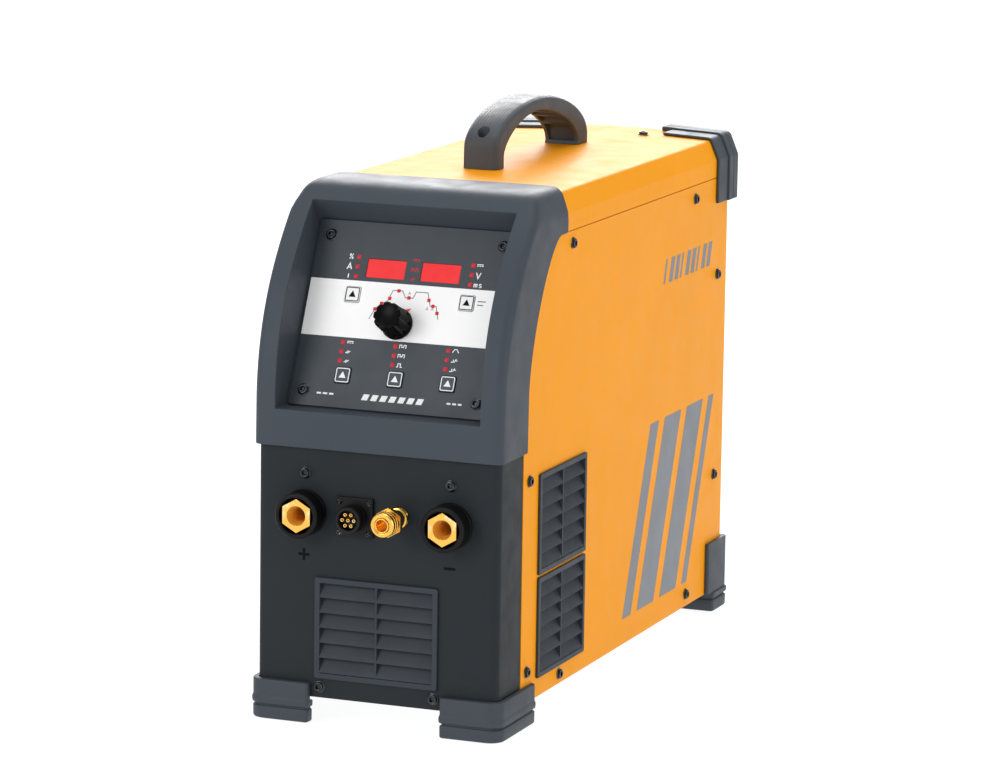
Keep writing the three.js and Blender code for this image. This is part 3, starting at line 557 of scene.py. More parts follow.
def screw_mesh(radius=5.15, height=3.0, socket=2.3):
    """A cheese head on a flange, with a hexagon socket, standing on the plane's origin."""
    head = radius * 0.8
    profile = [(radius, 0.02), (radius, 0.45), (radius - 0.35, 0.8), (head + 0.15, 0.85), (head, 1.0),
               (head, height - 0.6), (head - 0.15, height - 0.22), (head - 0.5, height),
               (socket + 0.35, height), (socket + 0.1, height - 0.15)]
    bm = bmesh.new()
    steps = 36
    turns = [2 * math.pi * i / steps for i in range(steps)]
    rings = [[bm.verts.new((r * math.cos(t), r * math.sin(t), out)) for t in turns] for r,
             out in profile]
    for depth in (height - 0.3, 0.9):
        hexagon = []
        for t in turns:
            inside = (t + math.pi / 6) % (math.pi / 3) - math.pi / 6
            r = socket * math.cos(math.pi / 6) / math.cos(inside)
            hexagon.append(bm.verts.new((r * math.cos(t), r * math.sin(t), depth)))
        rings.append(hexagon)
    for a, b in zip(rings, rings[1:]):
        for i in range(steps):
            j = (i + 1) % steps
            bm.faces.new((a[i], a[j], b[j], b[i]))
    bm.faces.new(rings[0][::-1])
    bm.faces.new(rings[-1])
    return mesh_of(bm, smooth_angle=40)


SCREW = screw_mesh()
SMALL_SCREW = screw_mesh(2.6, 1.9, 1.1)


def placed(mesh, matrix, x=0.0, y=0.0, out=0.0, turn=0.0, tilt=0.0):
    """A copy of a mesh in millimetres, set at a point of a plane and baked to the row frame."""
    copy = mesh.copy()
    local = Matrix.Translation((x, y, out)) @ Matrix.Rotation(tilt, 4, "Y") @ Matrix.Rotation(turn, 4,
                                                                                              "Z")
    copy.transform(matrix @ local)
    return copy


def screws(name, matrix, spots, mesh=SCREW, out=0.0):
    for i, (x, y) in enumerate(spots):
        turn = math.radians(17 * i + 5)
        piece(f"{name}_{i + 1}", placed(mesh, matrix, x, y, out, turn), black_screw)


def flipped(mesh):
    """A mesh mirrored left to right."""
    copy = mesh.copy()
    copy.transform(MIRROR_X)
    copy.flip_normals()
    return copy


def sheet_outline(line, thickness):
    """A closed outline of a bent sheet from the line of its outer face."""
    return list(line) + offset_line(line, thickness)[::-1]


# Sheet-metal case

SHEET = 1.5
PANEL_X = 109.5
PANEL_DEPTH = 52.0
PANEL_TOP = 222.0
FLOOR = -SIDE_DROP
SIDE_FRONT = 52.4
SEAM = 0.3
GRILLE = (111.7, 87.2)
GRILLE_CUT = 3.2
GRILLE_RIM = 4.7
LOUVRES = 6
GRILLE_FRONT_Z = 60.6
GRILLE_SIDE = [(142.7, 57.3), (142.7, 146.9)]
SHOULDER = [(side_x, 405.0), (102.6, 422.8)]
CROWN_X = 18.0
HOOD_REAR = 143.0
FAN_AT = (0.0, 112.0)
FAN_BLADES = 7
FAN_SCREWS = 52.5
SWITCH_AT = (-58.0, 330.0)
GLAND_AT = (48.0, 262.0)
INLET_AT = (-58.0, 232.0)


def roof_line(skirt_z, shoulder_radius=4.0):
    half = [(side_x, skirt_z), (*SHOULDER[0], shoulder_radius), (*SHOULDER[1], shoulder_radius),
            (CROWN_X, roof_z, 200.0)]
    other = [(-p[0], *p[1:]) for p in half[::-1]]
    return rounded(half + other, 0.0, 6, closed=False)


def make_cover():
    section = sheet_outline(roof_line(seam_z), SHEET)
    cover = piece("top_cover_sheet", mesh_of(prism(section, -rear_y, -HOOD_REAR - 0.5), FRONT),
                  orange_paint, replaces=["top_cover"])
    soften(cover, 0.35, 2)
    spots = [(41, 523), (-41, 523)]
    lean = math.atan2(roof_z - SHOULDER[1][1], SHOULDER[1][0] - CROWN_X)
    for name, (x, y) in zip(("roof_screw_right", "roof_screw_left"), spots):
        drop = (abs(x) - CROWN_X) * math.tan(lean)
        mesh = placed(SCREW, ROOF, x, y, -drop + 0.1, 0.3, lean if x > 0 else -lean)
        piece(name, mesh, black_screw)


def make_side_panels():
    bends = [(side_x, SIDE_FRONT), (side_x, rear_y), (side_x - 14, rear_y)]
    line = rounded(bends, 2.5, 5, closed=False)
    top = seam_z - 2 * SEAM
    bm = prism(sheet_outline(line, SHEET), FLOOR, top)
    panel = piece("side_sheet_right", mesh_of(bm, CASE), orange_paint, replaces=["side_panel_right"])
    wide = GRILLE[0] / 2 - GRILLE_CUT
    high = GRILLE[1] / 2 - GRILLE_CUT
    tools = [tool_prism(rectangle(2 * wide, 2 * high, 2, *at), -9, 9, RIGHT) for at in GRILLE_SIDE]
    corner = [(SIDE_FRONT - 9, top - 40), (SIDE_FRONT, top - 40), (SIDE_FRONT + 30, top),
              (SIDE_FRONT + 30, top + 9), (SIDE_FRONT - 9, top + 9)]
    carve(panel, tools + [tool_prism(corner, -9, 9, RIGHT)])
    strip = [(side_x - 3, SIDE_FRONT + 100), (side_x - 2.1, SIDE_FRONT + 100),
             (side_x - 2.1, rear_y - 4), (side_x - 3, rear_y - 4)]
    flange = tool_prism(strip, top - 8, top + 6, CASE)
    bmesh.ops.recalc_face_normals(flange, faces=flange.faces)
    flange.from_mesh(panel.data)
    flange.to_mesh(panel.data)
    flange.free()
    panel.data.set_sharp_from_angle(angle=math.radians(30))
    other = piece("side_sheet_left", flipped(panel.data), orange_paint, replaces=["side_panel_left"])
    for made in (panel, other):
        soften(made, 0.35, 2)
    spots = [(159.5, 377.7), (474.9, 376.3), (540.5, 298), (542.3, 108.6), (470, 8.6), (142.5, 5.9),
             (65.8, 188.3), (64.8, 24.1)]
    screws("side_screw_right", RIGHT, spots)
    screws("side_screw_left", LEFT, [(-y, z) for y, z in spots])


def make_front_panel():
    bends = [(-PANEL_X, PANEL_DEPTH), (-PANEL_X, 0), (PANEL_X, 0), (PANEL_X, PANEL_DEPTH)]
    line = rounded(bends, 6.5, 9, closed=False)
    panel = piece("lower_front_sheet", mesh_of(prism(sheet_outline(line, SHEET), 0.0, PANEL_TOP), CASE),
                  panel_paint, replaces=["front_panel"])
    wide = GRILLE[0] - 2 * GRILLE_CUT
    high = GRILLE[1] - 2 * GRILLE_CUT
    tools = [tool_prism(rectangle(wide, high, 2, 0, GRILLE_FRONT_Z), -9, 9, FRONT)]
    for (x, z), radius in ((WELD_LEFT, 16.6), (WELD_RIGHT, 16.6), (TORCH_AT, 10.5), (GAS_AT, 7.0)):
        tools.append(tool_prism(polygon(36, radius, x, z), -9, 9, FRONT))
    carve(panel, tools)
    soften(panel, 0.35, 2)
    screws("front_screw", FRONT, [(-66, 192.5), (66, 192.5), (-52, 9.5), (52, 9.5)])
    for name, x, z, ways in (("plus_mark", -66.7, 122.4, 2), ("minus_mark", 65.5, 122.1, 1)):
        bm = prism(rectangle(10.4, 2.3, 0.3, x, z, 2), 0.02, 0.14)
        if ways == 2:
            add_prism(bm, rectangle(2.3, 10.4, 0.3, x, z, 2), 0.02, 0.15)
        piece(name, mesh_of(bm, FRONT), black_print)


def make_rear_panel():
    line = offset_line(roof_line(1.0, 2.5), SHEET + SEAM)
    bm = prism([(-x, z) for x, z in line], -SHEET, 0)
    panel = piece("rear_sheet", mesh_of(bm, REAR), panel_paint, replaces=["rear_panel"])
    tools = [tool_prism(polygon(64, 57, -FAN_AT[0], FAN_AT[1]), -9, 9, REAR)]
    for (x, z), radius in ((SWITCH_AT, 11), (GLAND_AT, 10.6), (INLET_AT, 5.6)):
        tools.append(tool_prism(polygon(32, radius, -x, z), -9, 9, REAR))
    for row in range(4):
        for x in (-56, 0, 56):
            tools.append(tool_prism(rectangle(44, 5, 2.4, x, 374.5 + 11 * row), -9, 9, REAR))
    carve(panel, tools)
    soften(panel, 0.3, 2)


# Front connectors

WELD_LEFT = (-66.0, 158.6)
WELD_RIGHT = (66.0, 158.6)
TORCH_AT = (-20.0, 158.4)
GAS_AT = (19.6, 161.5)
WELD_HEX = 25.2
WELD_BORE = 6.5
WELD_FLARE = 8.4
WELD_TIP = 18.8
TORCH_PIN_CIRCLE = 5.3
GAS_HEX = 22.0


def hexagon(flats, at):
    """A hexagon with a corner up, by its width across flats."""
    return polygon(6, flats / math.sqrt(3), *at)


def make_weld_socket(end, at):
    """An insulating ring round a hexagonal brass contact with a keyed bore."""
    ring = [(11, -12), (16, -12), (16, 0.3), (19.4, 0.3), (19.8, 0.8), (19.8, 3.0), (19.2, 3.6),
            (19.2, 15.8), (19.5, 16.6), (19.3, 18.6), (18.4, 19.7), (17.4, 20.0), (16.3, 20.0),
            (15.7, 19.6), (15.4, 18.8), (15.2, 5), (11, 5)]
    shell = piece(f"weld_socket_ring_{end}", mesh_of(lathe(ring, *at, steps=72), FRONT), socket_rubber,
                  replaces=[f"weld_socket_shell_{end}"])
    soften(shell, 0.3, 2)
    nut = mesh_of(prism(hexagon(WELD_HEX, at), 5.4, WELD_TIP), FRONT)
    contact = piece(f"weld_socket_nut_{end}", nut, brass, replaces=[f"weld_socket_contact_{end}"])
    # The bore faces take the lightened bore brass, painted brighter than the shade inside would leave them.
    contact.data.materials.append(painted_bright_brass)
    keyway = rectangle(4.4, 8.6, 0, at[0], at[1] + 4.3)
    flare = lathe([(0, 2), (WELD_BORE, 2), (WELD_BORE, 11.5), (WELD_FLARE, WELD_TIP - 0.6),
                   (WELD_FLARE, 30), (0, 30)], *at, steps=48)
    flare.transform(FRONT)
    carve(contact, [flare, tool_prism(keyway, 2, 16, FRONT)])
    for face in contact.data.polygons:
        here = FRONT.inverted() @ face.center
        inside = (here.xy - Vector(at)).length < WELD_FLARE + 0.8
        face.material_index = 1 if inside and here.z < WELD_TIP - 0.6 else 0
    soften(contact, 0.5, 3, 25)
    stud = lathe([(WELD_BORE, -14), (9.6, -14), (9.6, 5.2), (WELD_BORE, 5.2)], *at, steps=40)
    # The stud behind the bore also takes the lightened bore brass, a painted highlight.
    piece(f"weld_socket_stud_{end}", mesh_of(stud, FRONT), painted_bright_brass)


def make_torch_socket():
    flange = prism(rectangle(34, 34, 1.2, *TORCH_AT), 0.3, 3.3)
    shell = piece("torch_socket_flange", mesh_of(flange, FRONT), black_plastic,
                  replaces=["torch_socket_shell"])
    carve(shell, [tool_prism(polygon(48, 8.5, *TORCH_AT), -4, 9, FRONT)])
    soften(shell, 0.5, 2)
    barrel = [(8.5, -12), (10, -12), (10, 3.3), (11.7, 3.3), (11.7, 6.2), (11.3, 6.6), (11.7, 7.0),
              (11.7, 15.4), (11.2, 16.6), (10.6, 17), (9.0, 17), (8.5, 16.4)]
    tube = piece("torch_socket_barrel", mesh_of(lathe(barrel, *TORCH_AT, steps=64), FRONT),
                 black_plastic)
    soften(tube, 0.25, 2)
    insert = lathe([(0, -10), (8.1, -10), (8.1, 10.4), (7.6, 11.0), (0, 11.0)], *TORCH_AT, steps=48)
    piece("torch_socket_disc", mesh_of(insert, FRONT), black_plastic, slot="brass",
          replaces=["torch_socket_insert"])
    pins = bmesh.new()
    pin = [(0.6, 11.1), (1.7, 11.1), (1.7, 15.4), (1.4, 15.9), (0.9, 15.9), (0.6, 15.4)]
    for spot in [TORCH_AT] + polygon(6, TORCH_PIN_CIRCLE, *TORCH_AT, 0):
        add_lathe(pins, pin, *spot, steps=20)
    piece("torch_socket_pins", mesh_of(pins, FRONT), brass)
    corners = [(TORCH_AT[0] + i * 13.2, TORCH_AT[1] + j * 13.2) for i in (-1, 1) for j in (-1, 1)]
    screws("torch_socket_screw", FRONT, corners, SMALL_SCREW, 3.3)


def make_gas_fitting():
    body = [(0, -14), (6.6, -14), (6.6, 0.3), (9.0, 0.3), (9.0, 1.6), (8.6, 2.2), (8.6, 3.2), (9.0, 3.8),
            (9.0, 5.0), (7.5, 5.6), (7.5, 16.6), (6.4, 17.2), (6.4, 37.5), (6.0, 38), (5.2, 38),
            (4.8, 37.4), (4.8, 20), (0, 20)]
    fitting = piece("gas_fitting_turned", mesh_of(lathe(body, *GAS_AT, steps=64), FRONT), brass,
                    replaces=["gas_fitting_body"])
    soften(fitting, 0.25, 2)
    neck = [(7.55, 6.2), (7.9, 6.4)]
    for i in range(5):
        low = 6.6 + i * 2.0
        neck += [(8.0, low), (8.0, low + 1.3), (7.7, low + 1.5), (7.7, low + 1.9)]
    neck += [(7.9, 16.4), (7.55, 16.5)]
    piece("gas_fitting_neck", mesh_of(lathe(neck, *GAS_AT, steps=56), FRONT), black_screw, slot="brass")
    nose = [(6.7, 24.2), (10.2, 24.2), (10.6, 24.6), (10.6, 27.4), (10.0, 27.8), (10.0, 28.6),
            (10.6, 29.0), (10.6, 31.4), (10.0, 31.8), (10.0, 32.6), (10.5, 33.0), (10.5, 36.0),
            (9.6, 37.2), (8.2, 37.4), (6.7, 37.0)]
    sleeve = lathe(nose, *GAS_AT, steps=64)
    collar_mesh = bpy.data.meshes.new("collar")
    collar = tool_prism(hexagon(GAS_HEX, GAS_AT), 18.5, 24.0, FRONT)
    collar.to_mesh(collar_mesh)
    collar.free()
    ring = piece("gas_sleeve_collar", collar_mesh, brass, "gas_sleeve")
    rounded_off = [(10.8, 17), (15, 17), (15, 26), (10.8, 26), (12.4, 24.3), (12.4, 18.2)]
    trimmer = lathe(rounded_off, *GAS_AT, steps=48)
    trimmer.transform(FRONT)
    carve(ring, [tool_prism(polygon(40, 8.4, *GAS_AT), 10, 30, FRONT), trimmer])
    soften(ring, 0.2, 2)
    grip = piece("gas_sleeve_nose", mesh_of(sleeve, FRONT), brass, "gas_sleeve",
                 replaces=["gas_release_sleeve"])
    soften(grip, 0.2, 2)


# Ventilation grilles


def grille_mesh():
    """Frame, six leaning louvres and a middle rib, in millimetres, facing outwards."""
    wide, high = GRILLE
    rim = GRILLE_RIM
    bm = bmesh.new()
    outer = rectangle(wide, high, 2.0, steps=4)
    outer_top = rectangle(wide - 0.8, high - 0.8, 1.6, steps=4)
    inner = rectangle(wide - 2 * rim, high - 2 * rim, 0.8, steps=4)
    inner_top = rectangle(wide - 2 * rim + 0.8, high - 2 * rim + 0.8, 1.0, steps=4)
    spigot = rectangle(wide - 2 * rim + 2.2, high - 2 * rim + 2.2, 1.2, steps=4)
    levels = [(spigot, -5), (spigot, 0.3), (outer, 0.3), (outer, 1.9), (outer_top, 2.35),
              (inner_top, 2.35), (inner, 1.9), (inner, -5)]
    add_loops(bm, [[(x, y, out) for x, y in loop] for loop, out in levels], closed=True)
    pitch = (high - 2 * rim) / LOUVRES
    low = -high / 2 + rim
    half = wide / 2 - rim + 0.2
    blade = bezier((2.2, -5.9), (0.8, -2.4), (-2.6, 2.6), (-4.2, 6.9), 6)
    under = bezier((-4.8, 6.5), (-4.0, 2.2), (-1.0, -3.0), (1.3, -6.3), 6)
    for row in range(LOUVRES):
        middle = low + (row + 0.5) * pitch
        add_loops(bm, [[(x, middle + up, out) for out, up in blade + under] for x in (-half, half)])
    rib = [(-0.9, 1.6), (0.9, 1.6), (1.3, -4.8), (-1.3, -4.8)]
    span = high / 2 - rim + 0.2
    add_loops(bm, [[(x, y, out) for x, out in rib] for y in (-span, span)])
    return mesh_of(bm, smooth_angle=35)


def make_grilles():
    shape = grille_mesh()
    spots = [("front_grille", FRONT, 0, GRILLE_FRONT_Z)]
    for (y, z), level in zip(GRILLE_SIDE, ("lower", "upper")):
        spots.append((f"side_grille_right_{level}", RIGHT, y, z))
        spots.append((f"side_grille_left_{level}", LEFT, -y, z))
    for node, matrix, x, y in spots:
        made = piece(f"{node}_moulding", placed(shape, matrix, x, y), grille_plastic, replaces=[node])
        soften(made, 0.25, 2, 45)


# Moulded hood

HOOD_X = 112.3
HOOD_TOP = 428.0
HOOD_CORNER = 7.5
HOOD_WALL = 2.0
RECESS_X = 92.5
RECESS_BOTTOM = 245.4
RECESS_TOP = 413.3
PLATE_X = 90.3
PLATE_LOW = -59.0
PLATE_HIGH = 104.4
PLATE_THICK = 2.0
LIP = 18.0


def hood_limit(z):
    """The hood's half-width at a height: upright, then leaning in above the shoulder."""
    lean_from, lean, soft = 402.0, 8 / 22, 8.0
    over = max(z - lean_from, 0)
    if over < soft:
        return HOOD_X - lean * over * over / (2 * soft)
    return HOOD_X - lean * (over - soft / 2)


def line_points(a, b, steps):
    return [tuple(Vector(a).lerp(Vector(b), i / steps)) for i in range(steps + 1)]


def hood_lines():
    """The hood's front line and the wing's rear line as matching (y, z) points, and the recess's rows."""
    curve = [(-4.0, 255.0), (-1.0, 322.0), (27.0, 370.0), (80.0, 422.0)]
    fine = bezier(*curve, 400)
    top_at = min(range(401), key=lambda i: abs(fine[i][1] - RECESS_TOP))
    lower = line_points((-4.6, 214.0), (-4.14, RECESS_BOTTOM), 6)
    lower += line_points((-4.14, RECESS_BOTTOM), curve[0], 3)[1:]
    bend = [fine[round(top_at * i / 24)] for i in range(1, 25)]
    bend += [fine[top_at + round((400 - top_at) * i / 4)] for i in range(1, 5)]
    shoulder = bezier((80.0, 422.0), (84.3, 426.0), (92.3, HOOD_TOP), (104.0, HOOD_TOP), 8)[1:]
    roof = line_points((104.0, HOOD_TOP), (HOOD_REAR, HOOD_TOP), 5)[1:]
    front = lower + bend + shoulder + roof
    rear = line_points((56.0, 214.0), (57.0, 262.0), 9)
    rear += bezier((57.0, 262.0), (60.0, 312.0), (104.0, 386.0), (128.0, 388.6), 28)[1:]
    rear += line_points((128.0, 388.6), (HOOD_REAR - 2.5, 388.6), 7)[1:] + [(HOOD_REAR - 0.7, 389.3)]
    rear += line_points((HOOD_REAR, 391.5), (HOOD_REAR, HOOD_TOP - HOOD_CORNER), 4)
    return front, rear, 6, 9 + 24


def face_point(x, slope, behind):
    """A point of the control face in the case plane, at a depth behind the plate's face."""
    here = FACE @ Vector((x, slope, -behind)) - CASE_ORIGIN
    return here / MM


def make_hood():
    front, rear, bottom, top = hood_lines()
    count = len(front)
    rear = rear[:count] if len(rear) >= count else rear + [rear[-1]] * (count - len(rear))
    bm = bmesh.new()
    rows = []
    for i in range(count):
        here = Vector(front[i])
        along = (Vector(front[min(i + 1, count - 1)]) - Vector(front[max(i - 1, 0)])).normalized()
        inward = Vector((along.y, -along.x))
        half = [(RECESS_X, here)]
        for k in range(8):
            a = math.radians(90 * k / 7)
            point = here + inward * HOOD_CORNER * (1 - math.cos(a))
            half.append((hood_limit(point.y) - HOOD_CORNER * (1 - math.sin(a)), point))
        start = here + inward * HOOD_CORNER
        for m in range(1, 9):
            point = start.lerp(Vector(rear[i]), m / 8)
            half.append((hood_limit(point.y), point))
        row = [(-x, p.x, p.y) for x, p in half[::-1]] + [(x, p.x, p.y) for x, p in half]
        rows.append([bm.verts.new(p) for p in row])
    middle = len(rows[0]) // 2 - 1
    for i in range(count - 1):
        for k in range(len(rows[0]) - 1):
            if k == middle and bottom <= i < top:
                continue
            bm.faces.new((rows[i][k], rows[i][k + 1], rows[i + 1][k + 1], rows[i + 1][k]))
    stations = list(range(bottom, top + 1))
    border = [rows[i][middle + 1] for i in stations] + [rows[i][middle] for i in stations[::-1]]
    low_z, high_z = front[bottom][1], front[top][1]
    floor_low, floor_high = PLATE_LOW - 0.6, PLATE_HIGH + 0.6
    climb = (floor_high - floor_low) / (high_z - low_z)
    slopes = [floor_low + climb * (front[i][1] - low_z) for i in stations]
    spots = [(RECESS_X, s) for s in slopes] + [(-RECESS_X, s) for s in slopes[::-1]]
    depth = PLATE_THICK + 0.3
    floor = [bm.verts.new(face_point(x, s, depth)) for x, s in spots]
    inner = []
    for x, slope in spots:
        across = min(max(x, LIP - PLATE_X), PLATE_X - LIP)
        along = min(max(slope, PLATE_LOW + LIP), PLATE_HIGH - LIP)
        inner.append(bm.verts.new(face_point(across, along, depth)))
    for loop, following in ((border, floor), (floor, inner)):
        for i in range(len(loop)):
            j = (i + 1) % len(loop)
            bm.faces.new((loop[i], loop[j], following[j], following[i]))
    bmesh.ops.remove_doubles(bm, verts=bm.verts, dist=0.01)
    bmesh.ops.recalc_face_normals(bm, faces=bm.faces)
    bm.faces.ensure_lookup_table()
    lowest = min(bm.faces, key=lambda f: (abs(f.calc_center_median().x), f.calc_center_median().z))
    if lowest.normal.y > 0:
        bmesh.ops.reverse_faces(bm, faces=bm.faces)
    bm.transform(CASE)
    mesh = bpy.data.meshes.new("hood")
    bm.to_mesh(mesh)
    bm.free()
    for face in mesh.polygons:
        face.use_smooth = True
    hood = piece("hood_moulding", mesh, hood_plastic, replaces=["front_hood"])
    wall = hood.modifiers.new("wall", "SOLIDIFY")
    wall.thickness = HOOD_WALL * MM
    wall.offset = -1
    wall.use_even_offset = True
    soften(hood, 1.1, 4, 40)


# Control face


def stroke(bm, points, width, low, high, closed=False):
    """A line of ink: each span of the line is a thin raised bar, mitred to the next."""
    line = [Vector(p) for p in points]
    count = len(line)
    sides = []
    for i, here in enumerate(line):
        before = line[i - 1] if closed or i else None
        after = line[(i + 1) % count] if closed or i < count - 1 else None
        into = (here - before).normalized() if before else (after - here).normalized()
        away = (after - here).normalized() if after else into
        normal = (Vector((-into.y, into.x)) + Vector((-away.y, away.x))).normalized()
        reach = width / 2 / max(normal.dot(Vector((-into.y, into.x))), 0.4)
        sides.append((here + normal * reach, here - normal * reach))
    for i in range(count if closed else count - 1):
        (a, b), (c, d) = sides[i], sides[(i + 1) % count]
        add_prism(bm, [tuple(b), tuple(d), tuple(c), tuple(a)], low, high)


GLYPHS = {
    "A": [[(0, 0), (0.5, 1), (1, 0)], [(0.22, 0.34), (0.78, 0.34)]],
    "V": [[(0, 1), (0.5, 0), (1, 1)]],
    "%": [[(0.1, 0), (0.9, 1)], [(0.05, 0.75), (0.25, 0.95), (0.38, 0.78), (0.2, 0.62), (0.05, 0.75)],
          [(0.62, 0.22), (0.8, 0.38), (0.95, 0.2), (0.78, 0.05), (0.62, 0.22)]],
    "s": [[(0.9, 0.85), (0.6, 1), (0.15, 0.9), (0.12, 0.6), (0.85, 0.42), (0.88, 0.1), (0.45, 0), (0.1, 0.12)]],
    "m": [[(0, 0), (0, 0.8), (0.45, 0.8), (0.5, 0)], [(0.5, 0.7), (0.95, 0.8), (1, 0)]],
}
PICTURES = {
    "pulse": [[(0, 0), (1.4, 0), (1.4, 3), (3.8, 3), (3.8, 0), (5.6, 0)]],
    "double": [[(0, 0), (0, 3), (2, 3), (2, 1), (4, 1), (4, 3), (6, 3), (6, 0)]],
    "ramp": [[(0, 0), (1.8, 3), (4, 3), (5.8, 0)]],
    "wave": [[(0.2 + 0.6 * i, 1.5 + 1.5 * math.sin(i * math.pi / 4.5)) for i in range(10)]],
    "strike": [[(0, 0), (2.2, 0), (2.2, 2.4)], [(3.2, 0), (4.8, 3)], [(4.2, 1.4), (6, 1.4)]],
    "dots": [[(0, 2.6), (6, 2.6)], [(0, 1.2), (1.4, 1.2)], [(2.2, 1.2), (3.6, 1.2)], [(4.4, 1.2), (6, 1.2)]],
    "spot": [[(0, 0.4), (2.8, 2.6)], [(1.6, 0.2), (4.4, 2.4)]],
}
INK = (0.05, 0.12)
BAND = (2.4, 52.3)
CONTENT_X = 2.4
LOWER_X = 47.6
UPPER_X = 51.8
UPPER_SLOPE = 40.0
LOWER_SLOPE = -30.7
KEY_SPOTS = [(-UPPER_X, UPPER_SLOPE), (UPPER_X, UPPER_SLOPE), (-LOWER_X, LOWER_SLOPE), (0, LOWER_SLOPE),
             (LOWER_X, LOWER_SLOPE)]
KEY_HOLE = 14.2
KEY_SIZE = 13.3
KEY_PROUD = 1.1
DISPLAYS = [(-23.6, 64.3), (26.0, 64.3)]
DISPLAY_SIZE = (35.0, 16.4)
PLATE_SCREWS = [(-78.4, -45.6), (78.4, -45.6), (-78.4, 91.0), (78.4, 91.0)]
FLUTES = 9
FLUTE_DEPTH = 1.45


def write(bm, text, x, y, height, width):
    """Unit letters written from x to the right."""
    for letter in text:
        scale = Vector((height * 0.8, height))
        for line in GLYPHS[letter]:
            stroke(bm, [(x + u * scale.x, y + v * scale.y) for u, v in line], width, *INK)
        x += height * 1.1


def draw(bm, name, x, y, size, width):
    for line in PICTURES[name]:
        stroke(bm, [(x + u * size, y + v * size) for u, v in line], width, *INK)


def make_plate():
    bm = prism(rectangle(2 * PLATE_X, PLATE_HIGH - PLATE_LOW, 2.5, 0, (PLATE_HIGH + PLATE_LOW) / 2),
               -PLATE_THICK, 0)
    plate = piece("control_fascia", mesh_of(bm, FACE), plate_paint, replaces=["control_plate"])
    keys = [rectangle(KEY_HOLE, KEY_HOLE, 1.6, CONTENT_X + x, y) for x, y in KEY_SPOTS]
    windows = [rectangle(*DISPLAY_SIZE, 0.6, x, y) for x, y in DISPLAYS]
    hub = polygon(36, 4.2, *KNOB_AT)
    carve(plate, [tool_prism(shape, -9, 9, FACE) for shape in [*keys, *windows, hub]])
    soften(plate, 0.5, 2)
    middle = (BAND[0] + BAND[1]) / 2
    bm = prism(rectangle(2 * PLATE_X - 0.6, BAND[1] - BAND[0], 0.3, 0, middle), 0.02, 0.06)
    band = piece("white_band", mesh_of(bm, FACE), band_print)
    carve(band, [tool_prism(shape, -9, 9, FACE) for shape in [keys[0], keys[1], hub]])
    screws("plate_screw", FACE, PLATE_SCREWS)


def make_displays():
    for node, (x, y) in zip(("display_left", "display_right"), DISPLAYS):
        pane = prism(rectangle(DISPLAY_SIZE[0] - 0.6, DISPLAY_SIZE[1] - 0.6, 0.5, x, y), -9, -0.35)
        lens = piece(f"{node}_lens", mesh_of(pane, FACE), display_glow, replaces=[node])
        soften(lens, 0.25, 2)


def make_lamps():
    lamps = bmesh.new()
    spots = [(x, y) for x in (-49.7, 54.2) for y in (73.0, 64.6, 56.1)]
    spots += [(CONTENT_X + x, y) for x in (-52.8, -5.0, 42.9) for y in (-2.1, -10.2, -18.2)]
    spots += [(-27.1, 28.9), (-22.1, 34.1), (-15.5, 39.0), (-8.4, 46.1), (1.7, 40.7), (20.0, 39.9),
              (24.5, 35.0), (29.2, 29.2)]
    for i, spot in enumerate(spots):
        size = 3.5 if i < 15 else 3.0
        base = rectangle(size, size, 0.6, *spot, steps=3)
        crown = rectangle(size - 0.7, size - 0.7, 0.4, *spot, steps=3)
        levels = ((base, 0.02), (base, 0.3), (crown, 0.6))
        add_loops(lamps, [[(x, y, out) for x, y in loop] for loop, out in levels])
    piece("indicator_lamps", mesh_of(lamps, FACE, 50), lamp_red)
    marks = bmesh.new()
    for x, y in ((3.0, 73.4), (3.0, 65.0), (3.0, 57.0)):
        draw(marks, "dots" if y > 70 else "spot" if y < 60 else "double", x - 3.2, y - 1.4, 0.95, 0.7)
    add_prism(marks, [(0.2, 30.4), (5.4, 31.6), (2.2, 27.0)], *INK)
    # These red marks are print, but they take the lamps' glowing finish, a painted glow.
    piece("red_marks", mesh_of(marks, FACE), lamp_red)


